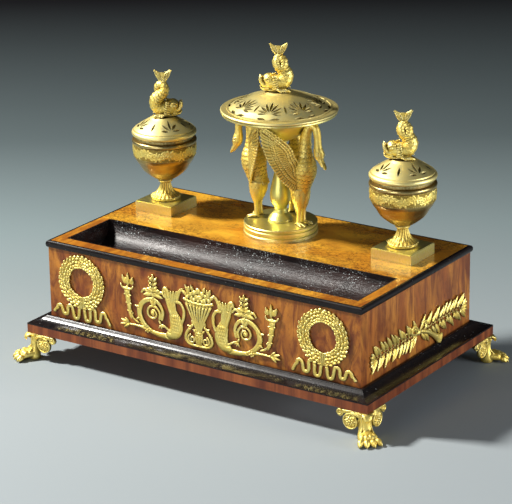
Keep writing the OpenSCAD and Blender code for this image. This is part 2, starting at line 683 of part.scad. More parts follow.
// Rod with a round head above and a square nut drawn up under the top
module tie_rod(x, head_z) {
    color("peru") on_top(x) {
        translate([0, 0, -top_thick - under_rod]) cylinder(r = rod_r, h = head_z + top_thick + under_rod, $fn = 24);
        translate([0, 0, head_z]) cylinder(r = nut_r, h = nut_high, $fn = 32);
        translate([0, 0, -top_thick - nut_high]) cylinder(r = nut_r * 1.3, h = nut_high, $fn = 4);
    }
}
rod_head_z = base_high + stem_high + nest_z - nut_high - 1;

module urn_left_plinth() { urn_plinth(-urn_out); }
module urn_left_stem() { urn_stem(-urn_out); }
module urn_left_bowl() { urn_bowl(-urn_out); }
module urn_left_liner() { urn_liner(-urn_out); }
module urn_left_cover() { urn_cover(-urn_out, -38); }
module urn_left_dolphin() { urn_dolphin(-urn_out, 34); }
module urn_left_rod() { tie_rod(-urn_out, rod_head_z); }
module urn_right_plinth() { urn_plinth(urn_out); }
module urn_right_stem() { urn_stem(urn_out); }
module urn_right_bowl() { urn_bowl(urn_out); }
module urn_right_liner() { urn_liner(urn_out); }
module urn_right_cover() { urn_cover(urn_out, -25); }
module urn_right_dolphin() { urn_dolphin(urn_out, 214); }
module urn_right_rod() { tie_rod(urn_out, rod_head_z); }

// ---- dolphins ----

// Head down on the cover, body thrown back and up, knotted once under the tail; head toward +X
module dolphin(high) {
    resize([0, 0, high]) intersection() {
        union() {
            // head, back and the rise to the knot
            limb([[14.6, 0, 5.4, 4.6, 3.4], [11.6, 0, 7.2, 6.6, 5.8], [7.6, 0, 8.6, 7.4, 7.8],
                [2.4, 0, 8.4, 7.6, 8], [-2.4, 0, 8.8, 7.6, 8], [-6, 0, 11.6, 7.2, 7.4],
                [-6.8, -0.6, 16, 7, 7.2], [-4.6, -1.6, 20.4, 6.2, 6.4], [-0.6, -2.6, 24, 5.4, 5.4],
                [1.8, -2.4, 28, 4.6, 4.4], [0.6, -1.2, 31.8, 4, 3.6]], 10);
            // over the top, down the back and under
            limb([[2.4, -1.6, 31, 3.8, 3.6], [-1.4, 0.4, 33, 4, 3.8], [-4.6, 2, 30.6, 4, 3.8],
                [-5.2, 3.2, 26.6, 3.8, 3.6], [-2.8, 3.8, 23.6, 3.5, 3.4]], 8);
            limb([[-4.6, 3.4, 24.4, 3.3, 3.3], [-0.2, 3.8, 24.8, 3.6, 3.5], [2, 2.6, 28.8, 3.6, 3.4],
                [1, 1.1, 33, 3.5, 3], [0, 0, 37, 3.2, 2.4]], 8);
            // upturned snout and lower jaw
            limb([[12, 0, 7, 4.4, 3.6], [16, 0, 8.6, 3.8, 2.2], [18, 0, 12.4, 4.4, 1.2],
                [17.2, 0, 16, 3, 0.7]], 8);
            limb([[11, 0, 4.6, 4.6, 3], [16, 0, 3.4, 3.8, 2.2], [18.4, 0, 4.8, 2.8, 1.2]], 8);
            for (s = [-1, 1]) {
                // eye and side fin
                limb([[9.4, s * 4, 11.8, 2.2, 2.2], [9.4, s * 7.4, 12.2, 1.6, 1.6]], 6, [1, 0, 0]);
                limb([[5, s * 5.4, 6.4, 1.6, 2.6], [0, s * 8.4, 4.8, 1.2, 3.4],
                    [-4.6, s * 9.6, 3, 0.6, 2.2]], 6);
                // lobe of the tail
                limb([[s * -0.8, 0, 35, 2.4, 2.6], [s * 2, 0, 39.4, 1.9, 4.4],
                    [s * 5.2, 0, 44, 1.5, 4.4], [s * 8.6, 0, 49, 0.5, 1.2]], 6);
            }
            // belly that seats on the cover
            limb([[-2, 0, -1, 8, 6.6], [-2, 0, 4, 8, 6.4]], 10, [1, 0, 0]);
            limb([[8, 0, -1, 5, 5], [8, 0, 5, 5.4, 6]], 10, [1, 0, 0]);
        }
        translate([-30, -30, 0]) cube([60, 60, 60]);
    }
}
module urn_dolphin(x, turn) {
    color(gilt) on_top(x) translate([0, 0, base_high + stem_high + bowl_high + cover_high])
        rotate([0, 0, turn]) dolphin(dolphin_high);
}

// ---- centre piece ----

module centre_drum() {
    h = drum_high;
    r = drum_r;
    color(gilt) on_top(0) difference() {
        rotate_extrude() polygon([[0, 0], [r, 0], [r, 0.24 * h], [r - 0.9, 0.3 * h], [r - 0.9, 0.42 * h],
            [r - 0.3, 0.48 * h], [r - 0.3, 0.66 * h], [r - 1.2, 0.72 * h], [r - 1.2, 0.8 * h],
            [r - 0.4, 0.86 * h], [r - 0.4, h - 0.6], [r - 1, h], [0, h]]);
        rod_hole(h);
    }
}
module baluster() {
    h = baluster_high;
    b = bulb_r;
    color(gilt) on_top(0) translate([0, 0, drum_high]) difference() {
        rotate_extrude() polygon(concat(
            [[0, 0], [12.5, 0], [12.5, 0.028 * h], [11.4, 0.045 * h], [9.6, 0.075 * h]],
            smooth([[7.6, 0.1 * h], [6.3, 0.14 * h], [6.9, 0.175 * h], [b - 1.2, 0.22 * h], [b, 0.29 * h],
                [b - 0.4, 0.37 * h], [b - 1.8, 0.45 * h], [6.6, 0.55 * h], [5.2, 0.66 * h], [5, 0.82 * h]], 3),
            [[5.2, 0.84 * h], [7, 0.87 * h], [7.4, 0.9 * h], [6.8, 0.93 * h], [5.4, 0.95 * h],
                [9.4, 0.985 * h], [9.4, h], [0, h]]
        ));
        rod_hole(h);
    }
}

// Bowl under a wide flat flange, whose raised lip holds the foot ring of the cover
dish_floor = 4.4;
flange_low = 0.865;
lip_wide = 2.5;
function dish_curve() = smooth([[9, 0], [14, 0.055], [20, 0.155], [24.4, 0.28], [28, 0.425],
    [30.8, 0.585], [32.6, 0.745], [34, 0.815], [37, 0.862]], 2);
module dish() {
    h = dish_deep;
    curve = [for (p = dish_curve()) [p[0], p[1] * h]];
    color(gilt) on_top(0) translate([0, 0, dish_z]) difference() {
        rotate_extrude() polygon(concat([[0, 0]], curve,
            [[dish_r - 1.6, h - 2.6], [dish_r - 0.3, h - 1.9], [dish_r, h - 1.1], [dish_r - 0.3, h],
            [dish_r - lip_wide, h], [dish_r - lip_wide, h - dish_rebate], [0, h - dish_rebate]]));
        rotate_extrude() polygon(concat(
            [[0, dish_floor], [14, dish_floor]],
            [for (p = curve) if (p[1] > dish_floor - 0.4 && p[0] - dish_wall * 0.8 < dish_mouth_r)
                [p[0] - dish_wall * 0.8, p[1] + dish_wall * 0.6]],
            [[dish_mouth_r, h - 4.5], [dish_mouth_r, h + 1], [0, h + 1]]));
        rod_hole(dish_floor);
    }
}

function dome_curve() = [[0.87, 0.2], [0.76, 0.4], [0.6, 0.61], [0.42, 0.79], [0.26, 0.93], [0.21, 1]];
module dish_cover() {
    h = dome_high;
    r = dish_r;
    foot = r - lip_wide - fit;
    top = [for (p = dome_curve()) [p[0] * r, p[1] * h]];
    color(gilt) on_top(0) translate([0, 0, dish_z + dish_deep]) difference() {
        rotate_extrude() polygon(concat(
            [[foot - 2.6, -dish_rebate], [foot, -dish_rebate], [foot, 0.3], [r - 0.6, 0.3]],
            [for (a = [-60:20:60]) [r - 0.9 + 1.9 * cos(a), 0.09 * h + 0.078 * h * sin(a)]],
            [[0.91 * r, 0.17 * h], [0.905 * r, 0.21 * h], [0.88 * r, 0.22 * h]],
            top, [[0, h], [0, h - dome_shell * 1.4]],
            [for (i = [len(top) - 1:-1:0]) [top[i][0] - dome_shell * 0.5, top[i][1] - dome_shell]],
            [[foot - 3.2, 0.08 * h]]
        ));
        translate([0, 0, 1.5]) linear_extrude(h + 2)
            for (k = [0:palmette_count - 1]) rotate(20 + 360 / palmette_count * k) {
                fan(0.75 * r, 9, 176, 15, 2.7);
                // scrolls at the root of the palmette
                for (s = [-1, 1]) translate([0.845 * r, s * 6.7]) rotate(90 + s * 16)
                    translate([-5.3, 0]) blade(10.6, 3.1, 4);
                rotate(180 / palmette_count) translate([0.56 * r, 0]) blade(11, 2.4, 4);
            }
    }
}
module dish_dolphin() {
    color(gilt) on_top(0) translate([0, 0, dish_z + dish_deep + dome_high])
        rotate([0, 0, 214]) dolphin(big_dolphin_high);
}
module centre_rod() { tie_rod(0, dish_z + dish_floor); }

// ---- swans ----

// The height of a swan, from the drum to the underside of the flange that its neck touches
swan_high = baluster_high + flange_low * dish_deep - 0.4;

// Head outward (+X); drawn 107 high, then set to swan_high. The wing on the open side of the
// group is spread, the others are raised close to the body so that they pass each other.
module swan_wing(s) {
    limb([[24, s * 7.6, 50, 9, 2.6], [22, s * 11.4, 54.6, 11, 2.2], [17.4, s * 18.4, 63.4, 11.4, 1.8],
        [10.6, s * 27.2, 79, 8.4, 1.4], [6.6, s * 32.6, 91, 4.6, 1], [4.6, s * 35.2, 100, 1.2, 0.6]],
        8, [0, 0, 1]);
    // long feathers fan from the shoulder to the trailing edge
    for (k = [0:6]) let (t = k / 6, out = [0.8, s * 0.75, 0], root = [17 + 7 * t, s * (20 - 9 * t), 74 - 18 * t],
        tip = [4.6 + 15.4 * t, s * (35.4 - 19.6 * t), 100 - 73 * t + 19 * t * t], mid = (root + tip) / 2 + out * 1.4)
        limb([concat(root + out, [2.4, 1.6]), concat(mid, [3.3, 1.5]), concat(tip + out * 0.4, [0.9, 0.7])],
            6, [0, 0, 1]);
}
module swan_wing_raised(s) {
    limb([[25, s * 7, 46, 7, 3], [24, s * 10.4, 54, 8.4, 2.2], [22.6, s * 12.8, 64, 7.8, 1.7],
        [21.4, s * 14, 74, 5.6, 1.3], [20.6, s * 14.4, 82, 3, 1], [20.2, s * 14.6, 87.4, 0.9, 0.6]],
        8, [1, 0, 0]);
    for (k = [0:3]) let (t = k / 3, root = [24 - 2 * t, s * 11.6, 66 - 9 * t],
        tip = [19.6 - 3.4 * t, s * (15.4 - 1.6 * t), 87 - 30 * t], mid = (root + tip) / 2 + [0, s * 2, 0])
        limb([concat(root, [2.4, 1.6]), concat(mid, [3, 1.4]), concat(tip, [0.9, 0.7])], 6, [1, 0, 0]);
}
module swan(open) {
    resize([0, 0, swan_high]) intersection() {
        union() {
            // body, neck and bowed head
            limb([[20.6, 0, 21.6, 2.2, 2.2], [22.4, 0, 27, 6.2, 6.2], [24.6, 0, 36.4, 9.4, 9.6],
                [26.8, 0, 47, 11.4, 12.2], [28.8, 0, 57, 11.2, 12], [30.4, 0, 65.4, 8.6, 9.2],
                [31, 0, 73, 6, 6.6], [31, 0, 81, 5.1, 5.4], [32, 0, 89, 4.6, 4.6], [34.4, 0, 96, 4.2, 4],
                [37.6, 0, 100.8, 4, 3.7], [41, 0, 102.8, 3.6, 3.4], [44.2, 0, 100.8, 3.1, 3],
                [46, 0, 95.8, 2.9, 2.9], [46.6, 0, 89, 2.7, 2.8], [46.8, 0, 82.4, 3, 3.2],
                [47.8, 0, 76.6, 3.9, 4.2], [49.6, 0, 71.6, 3.4, 3.6], [52.4, 0, 66.8, 2.3, 1.9],
                [55.6, 0, 62.4, 1.5, 0.9]], 10);
            for (s = [-1, 1]) {
                if (s == open) swan_wing(s); else swan_wing_raised(s);
                limb([[24.6, s * 4.2, 34, 5.4, 7], [25.4, s * 4.2, 25, 4.6, 5.4], [25.8, s * 4.3, 17.5, 2.9, 3.2],
                    [25.8, s * 4.4, 11, 2.2, 2.4], [25.4, s * 4.4, -1, 2.2, 2.3]], 6);
                // webbed foot
                limb([[21.6, s * 4.6, 1, 1.8, 1.8], [26, s * 4.8, 1.6, 2.6, 2.4], [33.4, s * 6, 0.2, 4.4, 1]], 6);
            }
            // tail
            limb([[24, 0, 41, 6, 5], [17, 0, 37, 5, 3], [13.8, 0, 34, 3.4, 1]], 8);
        }
        translate([-10, -60, 0]) cube([80, 120, 107]);
    }
}
module swan_at(turn, open) {
    color(gilt) on_top(0) translate([0, 0, drum_high]) rotate([0, 0, turn]) swan(open);
}
module swan_right() { swan_at(-4, -1); }
module swan_back() { swan_at(90, 0); }
module swan_left() { swan_at(184, 1); }

plinth_board();
plinth_moulding_front();
plinth_moulding_back();
plinth_moulding_left();
plinth_moulding_right();
case_front();
case_back();
case_left();
case_right();
top_panel();
top_rail_front();
top_rail_left();
top_rail_right();
top_bead_front();
top_bead_back();
top_bead_left();
top_bead_right();
tray_trough();
tray_end_left();
tray_end_right();
front_mount();
wreath_left();
wreath_right();
spray_left();
spray_right();
foot_front_left();
foot_front_right();
foot_back_left();
foot_back_right();
foot_screws();
urn_left_plinth();
urn_left_stem();
urn_left_bowl();
urn_left_liner();
urn_left_cover();
urn_left_dolphin();
urn_left_rod();
urn_right_plinth();
urn_right_stem();
urn_right_bowl();
urn_right_liner();
urn_right_cover();
urn_right_dolphin();
urn_right_rod();
centre_drum();
swan_left();
swan_right();
swan_back();
baluster();
dish();
dish_cover();
dish_dolphin();
centre_rod();
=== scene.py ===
from math import sin, cos, pi, radians, atan2, hypot
import bmesh
import bpy
import numpy as np
from mathutils import Matrix, Vector


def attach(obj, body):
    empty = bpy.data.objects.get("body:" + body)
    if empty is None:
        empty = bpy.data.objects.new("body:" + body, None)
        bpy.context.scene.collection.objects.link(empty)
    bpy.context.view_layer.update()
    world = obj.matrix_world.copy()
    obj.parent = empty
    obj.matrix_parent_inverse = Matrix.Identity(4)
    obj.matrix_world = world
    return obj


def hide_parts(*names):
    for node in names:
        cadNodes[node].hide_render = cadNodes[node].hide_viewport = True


# Desk inkstand: gilt bronze urns, a covered dish on three swans, a veneered case on paw feet.
# Sizes in the dictionaries are millimetres in the frame's own axes: the floor is z = 0 and the
# front faces -Y.

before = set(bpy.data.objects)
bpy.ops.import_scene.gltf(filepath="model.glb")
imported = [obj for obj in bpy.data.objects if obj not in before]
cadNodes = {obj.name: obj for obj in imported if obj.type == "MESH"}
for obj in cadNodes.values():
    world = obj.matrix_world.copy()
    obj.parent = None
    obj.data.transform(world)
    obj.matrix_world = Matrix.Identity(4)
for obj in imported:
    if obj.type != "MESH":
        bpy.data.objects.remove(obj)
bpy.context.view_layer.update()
scene = bpy.context.scene
mm = 0.001

# the case sides, and where the urns and the middle piece stand on the top
case = {"halfLength": 182.5, "halfDepth": 102.5, "bottom": 45.0, "rowY": 41.4, "urnX": 141.5}

cameraSpec = {"azimuth": 34.146, "elevation": 19.337, "roll": -0.885, "distance": 2424.0,
              "target": (-2.35, 0.0, 113.88), "lens": 172.1, "sensor": 36, "clip": (0.05, 30)}


def placeCamera(spec):
    az, el, roll = (radians(spec[k]) for k in ("azimuth", "elevation", "roll"))
    back = Vector((sin(az) * cos(el), -cos(az) * cos(el), sin(el)))
    level = Vector((cos(az), sin(az), 0))
    rise = back.cross(level)
    right = level * cos(roll) + rise * sin(roll)
    up = rise * cos(roll) - level * sin(roll)
    data = bpy.data.cameras.new("mainCamera")
    data.sensor_fit = "HORIZONTAL"
    data.sensor_width = spec["sensor"]
    data.lens = spec["lens"]
    data.clip_start, data.clip_end = spec["clip"]
    cam = bpy.data.objects.new("mainCamera", data)
    scene.collection.objects.link(cam)
    where = (Vector(spec["target"]) + back * spec["distance"]) * mm
    cam.matrix_world = Matrix.Translation(where) @ Matrix((right, up, back)).transposed().to_4x4()
    scene.camera = cam


placeCamera(cameraSpec)
print("camera placed")

# mesh helpers, all in millimetres


def smoothRun(points, steps):
    # a smooth curve through the points, with any number of columns
    p = np.asarray(points, float)
    ends = np.vstack([2 * p[0] - p[1], p, 2 * p[-1] - p[-2]])
    t = np.linspace(0, 1, steps, endpoint=False)[:, None]
    parts = []
    for i in range(len(p) - 1):
        a, b, c, d = ends[i:i + 4]
        parts.append(0.5 * (2 * b + (c - a) * t + (2 * a - 5 * b + 4 * c - d) * t ** 2
                            + (3 * b - a - 3 * c + d) * t ** 3))
    parts.append(p[-1:])
    return np.vstack(parts)


def gridFaces(rows, cols, wrap):
    faces = []
    for i in range(rows - 1):
        for k in range(cols if wrap else cols - 1):
            m = (k + 1) % cols
            faces.append((i * cols + k, i * cols + m, (i + 1) * cols + m, (i + 1) * cols + k))
    return faces


def limb(stations, steps, sides, side=(0, 1, 0), relief=None):
    # a closed form swept through stations x, y, z, half width, half depth; the half width lies
    # along side, and relief(length, angle, share) gives a height to add outward
    thinnest, bulge = 0.15, 0.3  # least half width, and how far the two ends stand out
    s = smoothRun(stations, steps)
    s[:, 3:] = np.maximum(s[:, 3:], thinnest)
    centre = s[:, :3]
    tangent = np.gradient(centre, axis=0)
    tangent /= np.linalg.norm(tangent, axis=1)[:, None]
    across = np.asarray(side, float) - tangent * (tangent @ np.asarray(side, float))[:, None]
    across /= np.linalg.norm(across, axis=1)[:, None]
    deep = np.cross(tangent, across)
    length = np.concatenate([[0], np.cumsum(np.linalg.norm(np.diff(centre, axis=0), axis=1))])
    angle = np.arange(sides) * 2 * pi / sides
    wide, thick = s[:, 3][:, None], s[:, 4][:, None]
    if relief is not None:
        add = relief(length[:, None] + 0 * angle, angle + 0 * wide,
                     length[:, None] / length[-1] + 0 * angle)
        wide, thick = wide + add, thick + add
    rings = (centre[:, None, :] + across[:, None, :] * (wide * np.cos(angle))[:, :, None]
             + deep[:, None, :] * (thick * np.sin(angle))[:, :, None])
    count = len(s)
    verts = np.vstack([rings.reshape(-1, 3), centre[:1] - tangent[:1] * bulge * s[0, 4],
                       centre[-1:] + tangent[-1:] * bulge * s[-1, 4]])
    faces = gridFaces(count, sides, True)
    first, last = count * sides, count * sides + 1
    for k in range(sides):
        m = (k + 1) % sides
        faces.append((m, k, first))
        faces.append(((count - 1) * sides + k, (count - 1) * sides + m, last))
    return verts, faces


def ball(centre, size, sides):
    # a rounded lump with its own three half sizes
    x, y, z = centre
    a, b, c = size
    rows = sides // 2
    v = np.linspace(0.06, pi - 0.06, rows)[:, None]
    u = np.arange(sides) * 2 * pi / sides
    px, py, pz = a * np.sin(v) * np.cos(u), b * np.sin(v) * np.sin(u), c * np.cos(v) + 0 * u
    ring = np.stack([x + px, y + py, z + pz], axis=2).reshape(-1, 3)
    verts = np.vstack([ring, [[x, y, z + c], [x, y, z - c]]])
    faces = [f[::-1] for f in gridFaces(rows, sides, True)]
    top, low = rows * sides, rows * sides + 1
    for k in range(sides):
        m = (k + 1) % sides
        faces.append((k, m, top))
        faces.append(((rows - 1) * sides + m, (rows - 1) * sides + k, low))
    return verts, faces


def turned(profile, sides, relief):
    # closed profile of (radius, height); relief(angle, radius, height) adds along the radius
    p = np.asarray(profile, float)
    angle = np.arange(sides) * 2 * pi / sides
    r = p[:, 0][:, None] + 0 * angle
    z = p[:, 1][:, None] + 0 * angle
    r = r + relief(angle + 0 * r, r, z)
    verts = np.stack([r * np.cos(angle), r * np.sin(angle), z], axis=2).reshape(-1, 3)
    faces = gridFaces(len(p), sides, True)
    last = (len(p) - 1) * sides
    faces += [(last + k, last + (k + 1) % sides, (k + 1) % sides, k) for k in range(sides)]
    return verts, faces


def moved(part, offset=(0, 0, 0), turn=0.0, mirrorX=False, mirrorY=False):
    verts, faces = np.array(part[0], float), part[1]
    if mirrorX:
        verts[:, 0] *= -1
    if mirrorY:
        verts[:, 1] *= -1
    if mirrorX != mirrorY:
        faces = [f[::-1] for f in faces]
    co, si = cos(turn), sin(turn)
    x, y = verts[:, 0] * co - verts[:, 1] * si, verts[:, 0] * si + verts[:, 1] * co
    return np.stack([x, y, verts[:, 2]], axis=1) + np.asarray(offset, float), faces


def joined(parts):
    verts, faces, base = [], [], 0
    for v, f in parts:
        verts.append(v)
        faces += [tuple(i + base for i in face) for face in f]
        base += len(v)
    return np.vstack(verts), faces


def turnOutward(mesh):
    work = bmesh.new()
    work.from_mesh(mesh)
    bmesh.ops.recalc_face_normals(work, faces=work.faces)
    work.to_mesh(mesh)
    work.free()


def markCrests(mesh, depth=None):
    # a value per vertex, 0 in hollows and 1 on crests; without depth it comes from how far the
    # form stands out of a softened copy of itself
    rounds, scale, middle = 6, 0.16, 0.62
    n = len(mesh.vertices)
    if depth is None:
        co, normal = np.empty(n * 3), np.empty(n * 3)
        mesh.vertices.foreach_get("co", co)
        mesh.vertex_normals.foreach_get("vector", normal)
        co, normal = co.reshape(-1, 3) / mm, normal.reshape(-1, 3)
        ends = np.empty(len(mesh.edges) * 2, np.int64)
        mesh.edges.foreach_get("vertices", ends)
        a, b = ends[0::2], ends[1::2]
        count = np.maximum(np.bincount(a, minlength=n) + np.bincount(b, minlength=n), 1)
        soft = co.copy()
        for _ in range(rounds):
            for k in range(3):
                total = np.bincount(a, soft[b, k], n) + np.bincount(b, soft[a, k], n)
                soft[:, k] = 0.4 * soft[:, k] + 0.6 * total / count
        depth = np.clip(middle + ((co - soft) * normal).sum(axis=1) / scale, 0, 1)
    tone = mesh.attributes.get("crest") or mesh.attributes.new("crest", "FLOAT", "POINT")
    tone.data.foreach_set("value", np.asarray(depth, np.float32))


def addPiece(name, part, material, replaces=(), depth=None, body="stand"):
    mesh = bpy.data.meshes.new(name)
    mesh.from_pydata((part[0] * mm).tolist(), [], part[1])
    mesh.update()
    mesh.validate()
    turnOutward(mesh)
    mesh.shade_smooth()
    markCrests(mesh, depth)
    piece = bpy.data.objects.new(name, mesh)
    scene.collection.objects.link(piece)
    mesh.materials.append(material)
    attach(piece, body)
    if replaces:
        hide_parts(*replaces)
    return piece


def fused(piece, voxel, smooth):
    # joins the lumps of a piece into one cast skin
    remesh = piece.modifiers.new("skin", "REMESH")
    remesh.mode, remesh.voxel_size = "VOXEL", voxel * mm
    remesh.use_smooth_shade = True
    soft = piece.modifiers.new("soften", "SMOOTH")
    soft.factor, soft.iterations = 0.5, smooth
    shown = piece.evaluated_get(bpy.context.evaluated_depsgraph_get())
    mesh = bpy.data.meshes.new_from_object(shown)
    piece.modifiers.clear()
    old, piece.data = piece.data, mesh
    bpy.data.meshes.remove(old)
    mesh.name = piece.name
    mesh.shade_smooth()
    markCrests(mesh)


# chased work is drawn as heights on a fine grid, which then becomes a closed mesh; a line drawn
# beside a form is cut into what lies under it, as a chaser would
chasing = {"line": 0.45, "floor": 0.35, "overlap": 0.6, "thinnest": 0.25}


def newField(x0, x1, y0, y1, cell):
    x = np.arange(x0, x1 + cell, cell)
    y = np.arange(y0, y1 + cell, cell)
    return {"x": x, "y": y, "h": np.full((len(y), len(x)), -1.0)}


def window(field, xs, ys, margin):
    x, y = field["x"], field["y"]
    i0, i1 = np.searchsorted(x, [min(xs) - margin, max(xs) + margin])
    j0, j1 = np.searchsorted(y, [min(ys) - margin, max(ys) + margin])
    if i1 <= i0 or j1 <= j0:
        return None
    gx, gy = np.meshgrid(x[i0:i1], y[j0:j1])
    return slice(j0, j1), slice(i0, i1), gx, gy


def lay(field, rows, cols, inside, height, edge, groove):
    # puts a form over what is there, with a chased line round it
    h = field["h"][rows, cols]
    near = edge & ~inside & (h > 0)
    h[near] = np.maximum(h[near] - groove, chasing["floor"])
    h[inside] = np.maximum(height[inside], h[inside] - chasing["overlap"])
    field["h"][rows, cols] = h


def stroke(field, points, height, base=0.8, groove=0.35, steps=5, cut=0.0, bead=0.0):
    # a rounded rod of changing half width; cut draws a line along its middle, bead cross lines
    s = smoothRun(points, steps * 2)
    half = np.maximum(s[:, 2], chasing["thinnest"])
    area = window(field, s[:, 0], s[:, 1], half.max() + 0.8)
    if area is None:
        return
    rows, cols, gx, gy = area
    away = np.sqrt((gx[..., None] - s[:, 0]) ** 2 + (gy[..., None] - s[:, 1]) ** 2)
    ratio = away / half
    k = ratio.argmin(axis=2)
    q = np.take_along_axis(ratio, k[..., None], 2)[..., 0]
    d = np.take_along_axis(away, k[..., None], 2)[..., 0]
    w = half[k]
    inside = q < 1
    tall = base + (height - base) * np.sqrt(np.clip(1 - q * q, 0, 1)) * np.clip(w / 1.2, 0.5, 1)
    if cut:
        tall = tall - cut * np.exp(-(d / 0.35) ** 2)
    if bead:
        run = np.concatenate([[0], np.cumsum(np.hypot(*np.diff(s[:, :2], axis=0).T))])
        tall = tall - 0.3 * (0.5 + 0.5 * np.cos(2 * pi * run[k] / bead)) ** 2
    lay(field, rows, cols, inside, tall, d < w + chasing["line"], groove)


def leaf(field, x, y, angle, long, wide, height, base=0.8, rib=0.25, groove=0.4, blunt=0.75):
    # a leaf from its stalk along angle (degrees), domed, with a midrib and side veins
    c, s = cos(radians(angle)), sin(radians(angle))
    area = window(field, [x, x + long * c], [y, y + long * s], wide)
    if area is None:
        return
    rows, cols, gx, gy = area
    u = ((gx - x) * c + (gy - y) * s) / long
    v = -(gx - x) * s + (gy - y) * c
    uc = np.clip(u, 0, 1)
    w = np.maximum(wide / 2 * np.sin(pi * uc ** blunt) ** 0.75, 0.02)
    q = np.abs(v) / w
    inside = (u > 0) & (u < 1) & (q < 1)
    dome = np.sqrt(np.clip(1 - q * q, 0, 1)) * (0.55 + 0.45 * np.sin(pi * uc))
    tall = base + (height - base) * dome
    if rib:
        veins = np.cos(2 * pi * (uc * long - np.abs(v)) / 1.7) > 0.6
        tall = tall + rib * np.exp(-(v / 0.32) ** 2) - 0.12 * veins
    edge = (u > -0.06) & (u < 1.06) & (np.abs(v) < w + 0.4)
    lay(field, rows, cols, inside, tall, edge, groove)


def dome(field, x, y, r, height, base=0.8, groove=0.35):
    # a round boss
    area = window(field, [x - r, x + r], [y - r, y + r], 0.8)
    if area is None:
        return
    rows, cols, gx, gy = area
    d = np.hypot(gx - x, gy - y)
    inside = d < r
    tall = base + (height - base) * np.sqrt(np.clip(1 - (d / r) ** 2, 0, 1))
    lay(field, rows, cols, inside, tall, d < r + chasing["line"], groove)


def coil(x, y, r, turns, start, wide, way, shrink=0.8):
    # points of a spiral that narrows inward, for a stroke
    steps = int(turns * 12)
    out = []
    for k in range(steps + 1):
        t = k / steps
        q = r * (1 - shrink * t)
        a = radians(start + way * 360 * turns * t)
        out.append((x + q * cos(a), y + q * sin(a), wide / 2 * (1 - 0.35 * t)))
    return out


def blurred(h):
    inside = h > 0
    total, weight = np.zeros_like(h), np.zeros_like(h)
    for dy, dx, w in ((0, 0, 4), (0, 1, 1), (0, -1, 1), (1, 0, 1), (-1, 0, 1)):
        ok = np.roll(inside, (dy, dx), (0, 1))
        total += np.where(ok, np.roll(h, (dy, dx), (0, 1)) * w, 0)
        weight += np.where(ok, w, 0)
    return np.where(inside, total / np.maximum(weight, 1), h)


def fieldPart(field, place, back=None, rounds=4):
    # turns a field into a closed mesh; place(x, y, height) gives points, back the share of the
    # height that the back takes, and rounds smooth the cut outline
    h = blurred(field["h"])
    solid = h > 0
    cells = solid[:-1, :-1] & solid[1:, :-1] & solid[:-1, 1:] & solid[1:, 1:]
    corner = np.zeros(h.shape, bool)
    for dj in (0, 1):
        for di in (0, 1):
            corner[dj:dj + cells.shape[0], di:di + cells.shape[1]] |= cells
    index = np.full(h.shape, -1)
    index[corner] = np.arange(corner.sum())
    jj, ii = np.nonzero(corner)
    x, y = field["x"][ii].copy(), field["y"][jj].copy()
    tall = h[jj, ii]
    cj, ci = np.nonzero(cells)
    quads = np.stack([index[cj, ci], index[cj, ci + 1], index[cj + 1, ci + 1], index[cj + 1, ci]],
                     axis=1)
    padded = np.pad(cells, 1)
    rims = []
    for dj, di, a, b in ((-1, 0, 0, 1), (0, 1, 1, 2), (1, 0, 2, 3), (0, -1, 3, 0)):
        empty = ~padded[1 + cj + dj, 1 + ci + di]
        rims.append(quads[empty][:, [a, b]])
    rims = np.vstack(rims)
    n = len(x)
    for _ in range(rounds):
        for v in (x, y):
            total, count = np.zeros(n), np.zeros(n)
            for a, b in ((0, 1), (1, 0)):
                np.add.at(total, rims[:, a], v[rims[:, b]])
                np.add.at(count, rims[:, a], 1)
            on = count > 0
            v[on] = 0.5 * v[on] + 0.5 * total[on] / count[on]
    low = np.zeros(n) if back is None else back * tall
    verts = np.vstack([place(x, y, tall), place(x, y, low)])
    faces = [tuple(f) for f in quads.tolist()]
    faces += [(a + n, d + n, c + n, b + n) for a, b, c, d in quads.tolist()]
    faces += [(b, a, a + n, b + n) for a, b in rims.tolist()]
    tone = np.clip(tall / tall.max(), 0, 1)
    return (verts, faces), np.concatenate([tone, tone if back is not None else tone * 0])


print("helpers ready")

# an effect that several materials use is one group, placed in each with its own values


def newGroup(name, inputs, outputs):
    # inputs: name, kind, value; a kind is Float, Color or Vector
    group = bpy.data.node_groups.new(name, "ShaderNodeTree")
    for label, kind, value in inputs:
        socket = group.interface.new_socket(label, in_out="INPUT", socket_type="NodeSocket" + kind)
        if value is not None:
            socket.default_value = value
    for label, kind in outputs:
        group.interface.new_socket(label, in_out="OUTPUT", socket_type="NodeSocket" + kind)
    return group, group.nodes.new("NodeGroupInput"), group.nodes.new("NodeGroupOutput")


def feed(tree, socket, value):
    if isinstance(value, bpy.types.NodeSocket):
        tree.links.new(value, socket)
    elif value is not None:
        socket.default_value = value


def mathNode(tree, kind, a, b=None, c=None, clamp=False):
    node = tree.nodes.new("ShaderNodeMath")
    node.operation, node.use_clamp = kind, clamp
    for socket, value in zip(node.inputs, (a, b, c)):
        feed(tree, socket, value)
    return node.outputs[0]


def objectCoord(tree):
    return tree.nodes.new("ShaderNodeTexCoord").outputs["Object"]


def attributeNode(tree, name):
    node = tree.nodes.new("ShaderNodeAttribute")
    node.attribute_name = name
    return node.outputs["Fac"]


def cellNode(tree, vector, scale):
    node = tree.nodes.new("ShaderNodeTexVoronoi")
    feed(tree, node.inputs["Vector"], vector)
    feed(tree, node.inputs["Scale"], scale)
    return node


def noiseNode(tree, vector, scale, detail, rough=0.55, distort=0.0):
    node = tree.nodes.new("ShaderNodeTexNoise")
    node.inputs["Detail"].default_value = detail
    node.inputs["Roughness"].default_value = rough
    node.inputs["Distortion"].default_value = distort
    feed(tree, node.inputs["Vector"], vector)
    feed(tree, node.inputs["Scale"], scale)
    return node.outputs[0]


